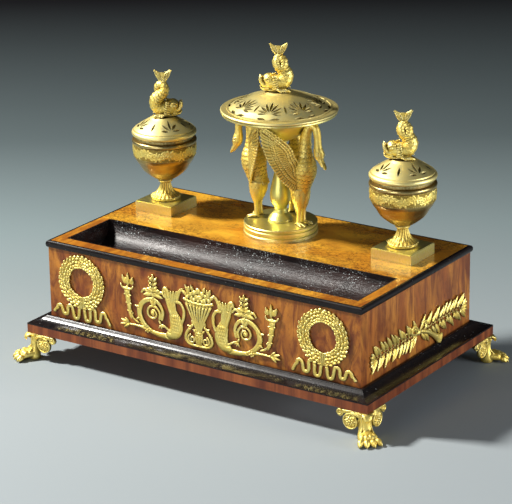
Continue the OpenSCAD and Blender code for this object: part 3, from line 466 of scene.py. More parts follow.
def rangeNode(tree, value, low, high, toLow=0.0, toHigh=1.0):
    node = tree.nodes.new("ShaderNodeMapRange")
    node.interpolation_type = "SMOOTHSTEP"
    for socket, v in zip(node.inputs, (value, low, high, toLow, toHigh)):
        feed(tree, socket, v)
    return node.outputs[0]


def mixColour(tree, share, a, b):
    node = tree.nodes.new("ShaderNodeMix")
    node.data_type = "RGBA"
    feed(tree, node.inputs[0], share)
    feed(tree, node.inputs[6], a)
    feed(tree, node.inputs[7], b)
    return node.outputs[2]


def stretched(tree, vector, scale):
    node = tree.nodes.new("ShaderNodeMapping")
    feed(tree, node.inputs["Vector"], vector)
    node.inputs["Scale"].default_value = scale
    return node.outputs[0]


def hollowShadeGroup():
    # darkening where surfaces face each other closely, from occlusion: painted shade, with some real
    # grime
    g, gin, gout = newGroup("hollowGrimeAndShade", [("Reach", "Float", 0.003), ("Amount", "Float", 1.0)],
                            [("Mask", "Float")])
    ao = g.nodes.new("ShaderNodeAmbientOcclusion")
    ao.samples = 6
    g.links.new(gin.outputs["Reach"], ao.inputs["Distance"])
    patch = noiseNode(g, objectCoord(g), 190.0, 3)
    shade = mathNode(g, "SUBTRACT", 1.0, ao.outputs["AO"])
    grimeAndShade = mathNode(g, "MULTIPLY", shade, rangeNode(g, patch, 0.25, 0.7, 0.55, 1.25))
    g.links.new(mathNode(g, "MULTIPLY", grimeAndShade, gin.outputs["Amount"], clamp=True), gout.inputs["Mask"])
    return g


def wearGroup():
    # rubbed edges, from how convex the surface is
    g, gin, gout = newGroup("edgeWear", [("Sharpness", "Float", 1.0)], [("Mask", "Float")])
    geometry = g.nodes.new("ShaderNodeNewGeometry")
    convex = rangeNode(g, geometry.outputs["Pointiness"], 0.5, 0.56)
    broken = rangeNode(g, noiseNode(g, objectCoord(g), 420.0, 4), 0.35, 0.6)
    worn = mathNode(g, "MULTIPLY", convex, broken)
    g.links.new(mathNode(g, "MULTIPLY", worn, gin.outputs["Sharpness"], clamp=True), gout.inputs["Mask"])
    return g


def matGroup():
    # fine punched and cast texture of bronze, as tone and height
    g, gin, gout = newGroup("castSkin", [("Scale", "Float", 1400.0)],
                            [("Tone", "Float"), ("Height", "Float")])
    coord = objectCoord(g)
    cells = cellNode(g, coord, gin.outputs["Scale"])
    grain = noiseNode(g, coord, gin.outputs["Scale"], 4, 0.6)
    broad = noiseNode(g, coord, 85.0, 3)
    tone = mathNode(g, "ADD", mathNode(g, "MULTIPLY", grain, 0.4), mathNode(g, "MULTIPLY", broad, 0.6))
    g.links.new(tone, gout.inputs["Tone"])
    g.links.new(mathNode(g, "ADD", cells.outputs["Distance"], grain), gout.inputs["Height"])
    return g


def figureGroup():
    # figured veneer: wavy bands, mottle and fine pores; Vector is already stretched along the grain
    g, gin, gout = newGroup("veneerFigure", [("Vector", "Vector", None), ("Bands", "Float", 6.0),
                                             ("Mottle", "Float", 2.0)],
                            [("Grain", "Float"), ("Cloud", "Float"), ("Pores", "Float")])
    vector = gin.outputs["Vector"]
    warp = g.nodes.new("ShaderNodeTexNoise")
    g.links.new(vector, warp.inputs["Vector"])
    warp.inputs["Scale"].default_value = 1.3
    add = g.nodes.new("ShaderNodeVectorMath")
    add.operation = "MULTIPLY_ADD"
    g.links.new(warp.outputs["Color"], add.inputs[0])
    add.inputs[1].default_value = (0.9, 0.9, 0.9)
    g.links.new(vector, add.inputs[2])
    bands = noiseNode(g, add.outputs[0], gin.outputs["Bands"], 6, 0.62, 0.4)
    cloud = noiseNode(g, vector, gin.outputs["Mottle"], 3, 0.5, 0.8)
    pores = noiseNode(g, vector, mathNode(g, "MULTIPLY", gin.outputs["Bands"], 7.0), 3, 0.7)
    g.links.new(rangeNode(g, bands, 0.32, 0.68), gout.inputs["Grain"])
    g.links.new(rangeNode(g, cloud, 0.3, 0.7), gout.inputs["Cloud"])
    g.links.new(rangeNode(g, pores, 0.58, 0.74), gout.inputs["Pores"])
    return g


def speckGroup():
    # scattered specks of dust and small chips, which on the ebonised wood are also painted glints of a
    # broken highlight
    g, gin, gout = newGroup("speckle", [("Scale", "Float", 500.0), ("Share", "Float", 0.2)],
                            [("Mask", "Float")])
    coord = objectCoord(g)
    cells = cellNode(g, coord, gin.outputs["Scale"])
    pick = g.nodes.new("ShaderNodeSeparateColor")
    g.links.new(cells.outputs["Color"], pick.inputs[0])
    chosen = mathNode(g, "LESS_THAN", pick.outputs[0], gin.outputs["Share"])
    small = rangeNode(g, cells.outputs["Distance"], 0.12, 0.32, 1.0, 0.0)
    patchy = rangeNode(g, noiseNode(g, coord, 45.0, 2), 0.4, 0.62)
    g.links.new(mathNode(g, "MULTIPLY", mathNode(g, "MULTIPLY", chosen, small), patchy),
                gout.inputs["Mask"])
    return g


groups = {"hollow": hollowShadeGroup(), "wear": wearGroup(), "skin": matGroup(), "figure": figureGroup(),
          "speck": speckGroup()}


def useGroup(tree, kind, **values):
    node = tree.nodes.new("ShaderNodeGroup")
    node.node_tree = groups[kind]
    for label, value in values.items():
        feed(tree, node.inputs[label], value)
    return node


def newMaterial(name):
    material = bpy.data.materials.new(name)
    material.use_nodes = True
    tree = material.node_tree
    return material, tree, tree.nodes["Principled BSDF"]


def dress(tree, shader, values):
    # links or sets several sockets of a shader at once
    for label, value in values.items():
        feed(tree, shader.inputs[label], value)


def bumpInto(tree, shader, height, distance, strength=1.0):
    bump = tree.nodes.new("ShaderNodeBump")
    bump.inputs["Strength"].default_value = strength
    bump.inputs["Distance"].default_value = distance
    tree.links.new(height, bump.inputs["Height"])
    tree.links.new(bump.outputs[0], shader.inputs["Normal"])


def giltBronze(name, spec):
    # fire-gilt bronze: bright on the crests, brown patina in the hollows, and painted shade where
    # surfaces face each other closely
    material, tree, shader = newMaterial(name)
    # the occlusion mask: painted shade with some grime where surfaces face each other closely
    hollow = useGroup(tree, "hollow", Reach=spec["reach"], Amount=spec["grimeAndShade"]).outputs[0]
    skin = useGroup(tree, "skin", Scale=spec["grain"])
    wear = useGroup(tree, "wear", Sharpness=spec["rub"]).outputs[0]
    crest = attributeNode(tree, "crest")
    low = rangeNode(tree, crest, spec["lowFrom"], spec["lowTo"], spec["lowDark"], 0.0)
    tone = rangeNode(tree, skin.outputs["Tone"], *spec["tones"])
    gold = mixColour(tree, tone, spec["deep"], spec["gold"])
    gold = mixColour(tree, wear, gold, spec["bright"])
    # the darkening mask: patina from the crest values, painted shade from the occlusion
    patinaAndShadeMask = mathNode(tree, "MAXIMUM", hollow, low) if spec["lowDark"] else hollow
    roughest = spec["rough"] + spec["roughSpread"]
    rough = mathNode(tree, "MULTIPLY_ADD", tone, -spec["roughSpread"], roughest)
    rough = mathNode(tree, "MULTIPLY_ADD", patinaAndShadeMask, 0.25, rough, clamp=True)
    rough = mathNode(tree, "MULTIPLY_ADD", wear, -0.08, rough, clamp=True)
    dress(tree, shader, {"Base Color": mixColour(tree, patinaAndShadeMask, gold, spec["patinaAndShadeColour"]), "Metallic": 1.0,
                         "Roughness": rough})
    bumpInto(tree, shader, skin.outputs["Height"], spec["bump"])
    return material


gilding = {"reach": 0.0022, "grimeAndShade": 1.0, "grain": 1500.0, "rub": 0.7, "lowFrom": 0.12, "lowTo": 0.55,
           "lowDark": 0.85, "deep": (0.94, 0.70, 0.15, 1), "gold": (1.0, 0.82, 0.24, 1),
           "bright": (1.0, 0.91, 0.45, 1), "patinaAndShadeColour": (0.13, 0.07, 0.011, 1), "rough": 0.4,
           "roughSpread": 0.12, "tones": (0.38, 0.62), "bump": 0.00012}
satin = dict(gilding, reach=0.003, grimeAndShade=0.8, grain=1100.0, lowDark=0.0, rough=0.42, roughSpread=0.05,
             tones=(0.1, 0.7), deep=(0.86, 0.76, 0.18, 1), gold=(0.95, 0.88, 0.27, 1), bump=0.00002)
# the bowls: darker gilt and occlusion reaching 45 mm, painted shade on the lower belly that faces the
# top and the plinth, with some patina
burnishingWithShade = dict(satin, reach=0.045, grimeAndShade=1.15, grain=700.0, rough=0.32, roughSpread=0.08,
                  deep=(0.32, 0.21, 0.07, 1), gold=(0.50, 0.37, 0.13, 1), bump=0.00001)

chasedGilt = giltBronze("chasedGilt", gilding)
# figures: occlusion reaching 4 mm, more painted shade between feathers, wings and bodies
figureGilt = giltBronze("figureGilt", dict(gilding, reach=0.004, lowFrom=0.0, lowTo=0.5, lowDark=0.8,
                                           rough=0.42))
satinGilt = giltBronze("satinGilt", satin)
# covers: strong occlusion reaching 8 mm, painted shade inside the covers and round their openings
coverGilt = giltBronze("coverGilt", dict(satin, reach=0.008, grimeAndShade=1.4, rough=0.48,
                                         deep=(0.98, 0.78, 0.26, 1), gold=(1.0, 0.86, 0.36, 1)))
burnishedGiltWithShade = giltBronze("burnishedGiltWithShade", burnishingWithShade)


def veneer(name, spec):
    # polished figured veneer under an old clear finish
    material, tree, shader = newMaterial(name)
    coord = objectCoord(tree)
    vector = stretched(tree, coord, spec["stretch"])
    figure = useGroup(tree, "figure", Vector=vector, Bands=spec["bands"], Mottle=spec["mottle"])
    colour = mixColour(tree, figure.outputs["Cloud"], spec["dark"], spec["light"])
    colour = mixColour(tree, mathNode(tree, "MULTIPLY", figure.outputs["Grain"], spec["contrast"]),
                       colour, spec["streak"])
    colour = mixColour(tree, mathNode(tree, "MULTIPLY", figure.outputs["Pores"], spec["pores"]),
                       colour, spec["pore"])
    if spec.get("burr"):
        # small eyes and flecks of burr wood, in drifts
        eyes = cellNode(tree, stretched(tree, coord, (1.0, 1.7, 1.0)), spec["burr"])
        drift = rangeNode(tree, noiseNode(tree, coord, 22.0, 3, 0.6), 0.36, 0.58)
        vein = mathNode(tree, "SUBTRACT", noiseNode(tree, coord, 150.0, 4, 0.65), 0.5)
        fleck = rangeNode(tree, mathNode(tree, "ABSOLUTE", vein), 0.008, 0.045, 1.0, 0.0)
        eye = rangeNode(tree, eyes.outputs["Distance"], 0.1, 0.4, 1.0, 0.0)
        mark = mathNode(tree, "MULTIPLY", mathNode(tree, "MAXIMUM", eye, fleck), drift)
        colour = mixColour(tree, mathNode(tree, "MULTIPLY", mark, spec["burrDark"]), colour, spec["eye"])
    # painted shade with some grime: the veneer darkens where surfaces face each other closely
    hollow = useGroup(tree, "hollow", Reach=0.006, Amount=0.5).outputs[0]
    low, high = spec["rough"] - 0.04, spec["rough"] + 0.06
    rough = rangeNode(tree, figure.outputs["Cloud"], 0.0, 1.0, low, high)
    dress(tree, shader, {"Base Color": mixColour(tree, hollow, colour, spec["grimeAndShade"]),
                         "Roughness": rough, "Specular IOR Level": spec["shine"],
                         "Coat Weight": spec["coat"], "Coat Roughness": spec["coatRough"]})
    bumpInto(tree, shader, figure.outputs["Pores"], -0.00005, 0.6)
    return material


caseFront = {"stretch": (26.0, 26.0, 9.0), "bands": 4.2, "mottle": 0.9, "contrast": 0.95, "pores": 0.8,
             "light": (0.66, 0.27, 0.036, 1), "dark": (0.33, 0.088, 0.014, 1),
             "streak": (0.15, 0.032, 0.009, 1), "pore": (0.085, 0.021, 0.007, 1),
             "grimeAndShade": (0.06, 0.02, 0.008, 1), "rough": 0.42, "coat": 0.22, "coatRough": 0.14,
             "shine": 0.25}
frontVeneer = veneer("frontVeneer", caseFront)
# the sides: a lighter copy of the front veneer, as painted light on the side faces
sideVeneerLightened = veneer("sideVeneerLightened", dict(caseFront, stretch=(24.0, 24.0, 6.0), bands=4.6,
                                       light=(0.74, 0.32, 0.046, 1), dark=(0.40, 0.115, 0.019, 1),
                                       streak=(0.17, 0.04, 0.010, 1), contrast=0.95))
edgeVeneer = veneer("edgeVeneer", dict(caseFront, stretch=(60.0, 60.0, 4.0), bands=1.8,
                                       light=(0.36, 0.105, 0.028, 1), dark=(0.20, 0.046, 0.014, 1),
                                       streak=(0.10, 0.022, 0.009, 1), contrast=0.8))
topVeneer = veneer("topVeneer", dict(caseFront, stretch=(9.0, 14.0, 9.0), bands=2.2, mottle=1.4,
                                     contrast=0.5, pores=0.4, light=(0.90, 0.50, 0.045, 1),
                                     dark=(0.66, 0.28, 0.022, 1), streak=(0.34, 0.11, 0.014, 1),
                                     pore=(0.16, 0.055, 0.012, 1), burr=190.0, burrDark=0.72,
                                     eye=(0.09, 0.026, 0.008, 1), rough=0.3, coat=0.8, coatRough=0.05))
railAlong = veneer("railAlong", dict(caseFront, stretch=(30.0, 8.0, 8.0), bands=2.4,
                                     light=(0.88, 0.44, 0.04, 1), dark=(0.60, 0.22, 0.02, 1),
                                     streak=(0.30, 0.085, 0.011, 1), pore=(0.20, 0.06, 0.012, 1),
                                     burr=240.0, burrDark=0.7, eye=(0.18, 0.05, 0.012, 1), rough=0.32,
                                     coat=0.7, coatRough=0.07))


def ebonised(name, spec):
    # black-stained wood under polish, rubbed brown at the edges, with pale specks that are partly dust
    # and partly painted glints of a broken highlight
    material, tree, shader = newMaterial(name)
    coord = objectCoord(tree)
    vector = stretched(tree, coord, spec["stretch"])
    figure = useGroup(tree, "figure", Vector=vector, Bands=3.0, Mottle=1.0)
    wear = useGroup(tree, "wear", Sharpness=spec["rub"]).outputs[0]
    dustAndGlints = useGroup(tree, "speck", Scale=spec["speckScale"], Share=spec["specks"]).outputs[0]
    fine = useGroup(tree, "speck", Scale=spec["speckScale"] * 2.3, Share=spec["specks"] * 1.6).outputs[0]
    colour = mixColour(tree, figure.outputs["Grain"], spec["black"], spec["brown"])
    colour = mixColour(tree, wear, colour, spec["rubbed"])
    # pale specks: partly dust, partly painted glints of a broken highlight
    dustAndGlintMask = mathNode(tree, "MAXIMUM", dustAndGlints, mathNode(tree, "MULTIPLY", fine, 0.5))
    low, high = spec["rough"] - 0.05, spec["rough"] + 0.08
    rough = rangeNode(tree, figure.outputs["Cloud"], 0.0, 1.0, low, high)
    rough = mathNode(tree, "MAXIMUM", rough, mathNode(tree, "MULTIPLY", dustAndGlintMask, 0.7))
    dress(tree, shader, {"Base Color": mixColour(tree, dustAndGlintMask, colour, spec["dustAndGlints"]), "Roughness": rough,
                         "Specular IOR Level": spec["shine"], "Coat Weight": spec["coat"],
                         "Coat Roughness": spec["coatRough"]})
    coarse = noiseNode(tree, stretched(tree, coord, spec["ripple"]), 420.0, 4, 0.7)
    coarse = mathNode(tree, "MULTIPLY", coarse, spec["uneven"])
    height = mathNode(tree, "MULTIPLY_ADD", dustAndGlintMask, 2.0, coarse)
    bumpInto(tree, shader, height, 0.00009, 0.8)
    return material


ebony = {"stretch": (5.0, 5.0, 30.0), "rub": 0.3, "specks": 0.03, "speckScale": 300.0,
         "black": (0.005, 0.005, 0.006, 1), "brown": (0.011, 0.008, 0.008, 1),
         "rubbed": (0.03, 0.021, 0.018, 1), "dustAndGlints": (0.5, 0.53, 0.52, 1), "rough": 0.25, "coat": 0.08,
         "coatRough": 0.08, "shine": 0.2, "ripple": (0.4, 0.4, 1.0), "uneven": 0.8}
ebonyAlong = ebonised("ebonyAlong", ebony)
# the tray: many pale blue-white specks, partly dust and partly painted glints of the speckled highlight
# in its cove
ebonyTray = ebonised("ebonyTray", dict(ebony, specks=0.42, speckScale=480.0, rough=0.26, coat=0.03,
                                       coatRough=0.2, dustAndGlints=(0.72, 0.80, 0.80, 1),
                                       brown=(0.03, 0.012, 0.010, 1), ripple=(0.35, 1.0, 1.0),
                                       uneven=5.0, shine=0.13))

liner = {"tint": (0.80, 0.93, 0.90, 1), "pale": (0.93, 0.97, 0.95, 1), "rough": (0.04, 0.12), "ior": 1.5}


def linerGlass(spec):
    material, tree, shader = newMaterial("linerGlass")
    seed = noiseNode(tree, objectCoord(tree), 260.0, 3)
    dress(tree, shader, {"Base Color": mixColour(tree, seed, spec["tint"], spec["pale"]),
                         "Roughness": rangeNode(tree, seed, 0.3, 0.7, *spec["rough"]),
                         "Transmission Weight": 1.0, "IOR": spec["ior"]})
    bumpInto(tree, shader, seed, 0.0001, 0.3)
    return material


iron = {"dark": (0.10, 0.09, 0.085, 1), "bright": (0.26, 0.25, 0.24, 1), "rust": (0.20, 0.075, 0.03, 1)}


def forgedIron(spec):
    material, tree, shader = newMaterial("forgedIron")
    skin = useGroup(tree, "skin", Scale=900.0)
    tone = rangeNode(tree, skin.outputs["Tone"], 0.35, 0.65)
    rust = rangeNode(tree, skin.outputs["Tone"], 0.52, 0.6)
    colour = mixColour(tree, tone, spec["dark"], spec["bright"])
    colour = mixColour(tree, mathNode(tree, "MULTIPLY", rust, 0.6), colour, spec["rust"])
    dress(tree, shader, {"Base Color": colour,
                         "Metallic": mathNode(tree, "MULTIPLY_ADD", rust, -0.8, 0.9, clamp=True),
                         "Roughness": rangeNode(tree, skin.outputs["Tone"], 0.3, 0.7, 0.4, 0.7)})
    bumpInto(tree, shader, skin.outputs["Height"], 0.0001)
    return material


glassMaterial = linerGlass(liner)
ironMaterial = forgedIron(iron)
print("materials ready")

# the carried-over solids get their finishes
finishes = {
    frontVeneer: ("case_front", "case_back"),
    sideVeneerLightened: ("case_left", "case_right"),
    edgeVeneer: ("plinth_board",),
    topVeneer: ("top_panel",),
    railAlong: ("top_rail_front", "top_rail_left", "top_rail_right"),
    ebonyAlong: ("plinth_moulding_front", "plinth_moulding_back", "plinth_moulding_left",
                 "plinth_moulding_right", "top_bead_front", "top_bead_back", "top_bead_left",
                 "top_bead_right"),
    ebonyTray: ("tray_trough", "tray_end_left", "tray_end_right"),
    satinGilt: ("urn_left_plinth", "urn_right_plinth", "centre_drum", "baluster", "dish"),
    coverGilt: ("dish_cover", "urn_left_cover", "urn_right_cover"),
    burnishedGiltWithShade: ("urn_left_bowl", "urn_right_bowl"),
    glassMaterial: ("urn_left_liner", "urn_right_liner"),
    ironMaterial: ("foot_screws", "urn_left_rod", "urn_right_rod", "centre_rod"),
}
softEdges = {"plinth_board": 0.5, "urn_left_plinth": 0.35, "urn_right_plinth": 0.35}


def finishNodes():
    for material, names in finishes.items():
        for name in names:
            mesh = cadNodes[name].data
            mesh.materials.clear()
            mesh.materials.append(material)
    for name, width in softEdges.items():
        bevel = cadNodes[name].modifiers.new("softEdge", "BEVEL")
        bevel.width, bevel.segments, bevel.limit_method = width * mm, 2, "ANGLE"


finishNodes()
print("solids finished")

frontMount = {"cell": 0.4, "reach": 97.0, "high": 68.5, "tall": 2.5}


def drawVolutes(f):
    # volutes under the basket and the leafy stem between them
    stroke(f, [(0, 3.8, 1.5), (7, 3.6, 1.6), (12.6, 5.2, 1.8), (15.4, 9, 1.8), (14.4, 15, 1.8),
               (10.5, 20.5, 1.7), (6.7, 25, 1.5), (4.4, 30, 1.2)], 2.0)
    stroke(f, coil(8.2, 9.8, 4.6, 1.35, 70, 2.8, -1), 2.1)
    stroke(f, [(2.2, 5, 1.0), (3.4, 11, 1.2), (3.8, 17, 1.1), (3.0, 24, 1.0)], 1.8)
    leaf(f, 0, 4, 90, 24, 5.4, 2.2, groove=0.2)
    for x, y, a in ((3.6, 17, 48), (4.0, 13, 150), (8.8, 21.6, 20), (6, 25, 60)):
        leaf(f, x, y, a, 5.4, 2.6, 1.9)


def drawBird(f, top):
    # tail into the scroll, breast, neck and the wing that stands up from the shoulder
    stroke(f, [(88, 9.6, 0.9), (76, 10.6, 1.3), (64, 9.6, 1.9), (54, 7.2, 2.3), (45, 6.0, 2.8),
               (36, 6.6, 3.6), (29, 9.6, 4.6)], 2.1, steps=8)
    stroke(f, [(35, 8.4, 4.0), (29, 11, 6.2), (26.4, 17, 7.6), (27, 24, 7.2), (29.4, 31, 5.4),
               (31.8, 38, 3.8), (34.2, 45, 2.9)], top, base=1.0, steps=10)
    for k in range(5):
        t = k / 4
        stroke(f, [(27 + 3.4 * t, 27 - 3 * t, 1.5), (28.2 + 5.6 * t, 37 - 2 * t, 2.0),
                   (28.4 + 8.4 * t, 46.4 - 2.4 * t, 1.9), (25.4 + 13.8 * t, 54.8 - 1.6 * t, 1.2)],
               2.2 + 0.1 * k, groove=0.5, cut=0.25)
    stroke(f, [(35, 48, 1.8), (36.4, 54.2, 2.1), (39.8, 55.6, 1.9), (41.2, 52.0, 1.3)], 2.3)
    stroke(f, [(25.2, 44, 1.8), (24.4, 50, 2.2), (21.8, 56, 2.0), (18.6, 58.8, 1.5)], 2.3, cut=0.2)
    stroke(f, [(19.6, 24, 1.6), (17.4, 31, 1.8), (17.4, 38, 1.8), (20.8, 43.6, 1.8), (25.6, 44.6, 1.8)],
           2.1, groove=0.5)
    for row in range(5):
        # breast feathers
        for k in range(4 - row % 2):
            leaf(f, 23.4 + 2.4 * k + (row % 2) * 1.2 + row * 0.3, 17.5 + 3.3 * row, 262 - 4 * k, 4.4,
                 3.0, 2.35 + 0.05 * row, base=1.9, rib=0.12, groove=0.3)
    # leg and claw
    stroke(f, [(34, 12, 1.5), (39.6, 15.6, 1.2), (44, 17.2, 1.0), (46.6, 15.0, 0.9)], 2.0)
    for a in (200, 245, 300):
        leaf(f, 45.6, 16.4, a, 5.2, 2.0, 1.9)
    leaf(f, 45, 17, 60, 5.6, 3.0, 2.0)


def drawScroll(f):
    # round scroll with its spiral heart
    stroke(f, [(57, 8.6, 1.8), (63, 12.2, 2.5), (68.6, 18, 3.0), (70.8, 25.6, 3.1), (68.6, 33.4, 2.9),
               (63.2, 38.6, 2.6), (55.6, 41.0, 2.3), (48.4, 39.6, 2.1), (43.8, 34.6, 1.9),
               (42.4, 28.6, 1.8), (43.6, 22.6, 1.7)], 2.1, steps=7, cut=0.4, groove=0.5)
    stroke(f, coil(54.2, 27.2, 8.8, 1.5, -150, 3.2, -1, 0.72), 2.1)
    dome(f, 54.4, 27, 2.6, 2.5)
    stroke(f, [(54, 34.8, 0.9), (53.6, 44, 1.1), (53.4, 50, 1.0)], 2.0)
    for s in (-1, 1):
        leaf(f, 53.6, 35, 90 - s * 32, 8.4, 3.6, 2.2)
        leaf(f, 53.6, 45, 90 - s * 62, 9.6, 4.6, 2.3)
        stroke(f, [(53.5 + s, 46.0, 1.1), (53.5 + s * 6.5, 49.4, 1.7), (53.5 + s * 11, 50.0, 1.5),
                   (53.5 + s * 13.6, 46.8, 1.2)], 2.1, cut=0.2)
    leaf(f, 70.4, 30, 15, 6.6, 3.0, 2.0)
    leaf(f, 70, 20, -30, 6.0, 2.8, 2.0)


def drawCorn(f):
    # ear of corn over the scroll
    stroke(f, [(53.4, 50, 1.0), (53.4, 64, 0.7)], 1.7)
    for k in range(3):
        for s in (-1, 1):
            leaf(f, 53.4 + 0.5 * s, 51.6 + 4.4 * k, 90 - s * 50, 6.2, 3.3, 2.5, blunt=0.9)
            dome(f, 53.4 + s * 4.5, 55.4 + 4.4 * k, 1.2, 2.5)
    leaf(f, 53.4, 62, 90, 6.0, 3.0, 2.5)
    for s in (-1, 1):
        leaf(f, 53.4, 50, 90 - s * 74, 8.6, 4.4, 2.3)
        leaf(f, 53.6 + s * 2, 46.6, 90 - s * 100, 10.5, 4.4, 2.2)


def drawTailEnd(f):
    # rosette and palmette at the end of the tail
    for k in range(6):
        leaf(f, 61.4, 8.6, 60 * k + 20, 4.2, 2.6, 2.2, rib=0.1)
    dome(f, 61.4, 8.6, 1.6, 2.5)
    for a, long in ((52, 8.5), (22, 11.5), (-6, 11.5), (-34, 8.5)):
        leaf(f, 83.4, 10.2, a, long, 3.8, 2.3)
    stroke(f, [(72, 14, 1.2), (77, 16.6, 1.2), (80, 20.4, 1.1), (78.6, 22.6, 0.9)], 1.9)


def drawTorch(f):
    # torch with rings, cup and flame
    stroke(f, [(80.6, 17.4, 1.1), (82, 22, 2.0), (83.4, 31, 2.6), (84.6, 40, 3.2), (85.4, 46.2, 3.6)],
           2.3, steps=8, cut=0.2)
    for y, w in ((24, 2.6), (32, 3.3), (40.6, 4.0)):
        stroke(f, [(83.2 - w + (y - 30) * 0.13, y, 0.9), (83.2 + w + (y - 30) * 0.13, y + 0.4, 0.9)],
               2.5)
    stroke(f, [(77.6, 50.4, 0.9), (80, 47.6, 1.3), (85.4, 46.8, 1.5), (90, 47.8, 1.3),
               (92.4, 50.8, 0.9)], 2.4)
    dome(f, 87, 55, 3.4, 2.5)
    dome(f, 79.6, 54.6, 3.0, 2.4)
    for x, y, a, long in ((84, 49.5, 90, 15), (81, 52, 112, 9), (87.4, 52, 70, 10)):
        leaf(f, x, y, a, long, 4.2, 2.4)


def drawBasket(f):
    # staves, rims and a heap of fruit with leaves
    for k in range(4):
        stroke(f, [(0.6 + 0.6 * k, 19, 0.8), (1.2 + 2.2 * k, 32, 1.2), (1.6 + 4.2 * k, 46, 1.7)], 2.2,
               groove=0.5)
    stroke(f, [(-0.4, 47.4, 1.5), (8, 47.8, 1.5), (16.6, 49.8, 1.7)], 2.5, bead=1.7)
    stroke(f, [(-0.4, 44.6, 0.7), (8, 44.9, 0.7), (15.4, 46.4, 0.7)], 2.0)
    for x, y, r in ((0, 60.4, 3.4), (4.8, 57.8, 3.0), (9.4, 55.6, 2.8), (2.0, 53.4, 3.2),
                    (7.4, 51.8, 2.8), (12.8, 52.6, 2.4), (0, 50.4, 2.0), (4.8, 50.6, 2.0)):
        dome(f, x, y, r, 2.5)
    for x, y, a, long in ((10.5, 56, 62, 10.5), (13, 54, 35, 8.0), (12, 55, 100, 9.5),
                          (6.4, 59.6, 75, 6.5)):
        leaf(f, x, y, a, long, 4.2, 2.4)


def drawFrontMount(spec):
    # the right half, x outward from the middle and y up from the foot of the case sides; a later
    # form lies over the ones before it
    f = newField(-0.4, spec["reach"], 0.0, spec["high"], spec["cell"])
    drawVolutes(f)
    drawBird(f, spec["tall"])
    for draw in (drawScroll, drawCorn, drawTailEnd, drawTorch, drawBasket):
        draw(f)
    return f


def onFront(middle, foot):
    # points of a field on the front: x along the case, y up, height outward
    def place(x, y, h):
        return np.stack([middle + x, -case["halfDepth"] - h, foot + y], axis=1)
    return place


def bothHalves(field):
    # the whole figure from its right half
    h = field["h"]
    right = h[:, field["x"] >= -1e-6]
    x = field["x"][field["x"] >= -1e-6]
    return {"x": np.concatenate([-x[:0:-1], x]), "y": field["y"],
            "h": np.concatenate([right[:, :0:-1], right], axis=1)}


def makeFrontMount(spec):
    part, tone = fieldPart(bothHalves(drawFrontMount(spec)), onFront(0.0, case["bottom"]))
    addPiece("front_mount_chased", part, chasedGilt, ("front_mount",), tone)


makeFrontMount(frontMount)
print("front mount done")

wreath = {"cell": 0.4, "radius": 21.4, "half": 6.4, "count": 34, "centreZ": 87.0, "tall": 2.5}


def drawWreath(spec, flip):
    f = newField(-37.5, 37.5, -41.9, 30.0, spec["cell"])
    # ribbon in deep loops, then the band of leaves over it
    turns = [(-28.4, -28.6), (-21.6, -37.2), (-15.4, -27.0), (-8.0, -39.8), (-0.8, -25.0), (6.4, -39.9),
             (12.8, -25.0), (19.2, -38.2), (26.0, -27.4)]
    loops = [(-35.2, -36.0, 2.0), (-32.6, -32.6, 1.7)]
    for k, (x, y) in enumerate(turns):
        way = 1 if k % 2 else -1
        loops += [(x - 3.2, y + way * 4.0, 2.0), (x - 2.3, y + way * 0.9, 2.0), (x, y, 2.0),
                  (x + 2.3, y + way * 0.9, 2.0), (x + 3.2, y + way * 4.0, 2.0)]
    loops += [(31.0, -33.4, 1.8), (33.6, -38.6, 2.0)]
    stroke(f, loops, 2.1, steps=3, cut=0.25)
    mid, half = spec["radius"], spec["half"]
    for r, w in ((mid, 3.2), (mid + 3.4, 2.7), (mid - 3.4, 2.7)):
        ring = [(r * cos(a), r * sin(a), w) for a in np.linspace(0, 2 * pi, 60)]
        stroke(f, ring, 1.5, groove=0.0, steps=1)
    for k in range(spec["count"]):
        for side in (-1, 1):
            # leaves climb from the tie at the foot to the top on each side, five abreast
            a = -90 + side * (4 + 176.0 * k / spec["count"])
            c, s = cos(radians(a)), sin(radians(a))
            jitter = 9 * sin(12.9898 * k + 3.1 * side)
            for off, tilt, long, wide in ((-5.2, 14, 4.2, 2.9), (5.3, -14, 4.6, 3.0),
                                          (-2.7, 16, 5.0, 3.0), (2.7, -16, 5.0, 3.0),
                                          (0.0, 0, 5.2, 3.1)):
                r = mid + off + 0.4 * sin(7.7 * k + off)
                if (k + (abs(off) == 2.7)) % 2 == 0:
                    leaf(f, r * c, r * s, a + side * (90 + tilt) + jitter, long, wide,
                         spec["tall"] + 0.15 * sin(5 * k + off), base=1.3, groove=0.55, rib=0.2)
            if k % 3 == 1:
                r = mid + (4.0 if k % 2 else -3.8)
                dome(f, r * cos(radians(a + 2)), r * sin(radians(a + 2)), 1.1, 2.7, base=1.6)
    # berries at the top and tie at the foot
    for dx, dy in ((0, 1.4), (-1.7, -1.2), (1.7, -1.2)):
        dome(f, dx, mid + dy, 1.7, 2.6, base=1.4)
    for dx in (-2.0, 0.0, 2.0):
        stroke(f, [(dx - 0.5, -mid - half + 0.4, 0.9), (dx + 0.5, -mid + half - 0.6, 0.9)], 2.6,
               base=1.2)
    if flip:
        f["h"] = f["h"][:, ::-1]
    return f


def makeWreaths(spec):
    for name, x, flip in (("wreath_left", -case["urnX"], False), ("wreath_right", case["urnX"], True)):
        part, tone = fieldPart(drawWreath(spec, flip), onFront(x, spec["centreZ"]))
        addPiece(name + "_chased", part, chasedGilt, (name,), tone)


makeWreaths(wreath)
print("wreaths done")

# laurel sprays on the short sides
spray = {"cell": 0.4, "knotX": 1.4, "knotZ": 20.7, "tall": 2.5}


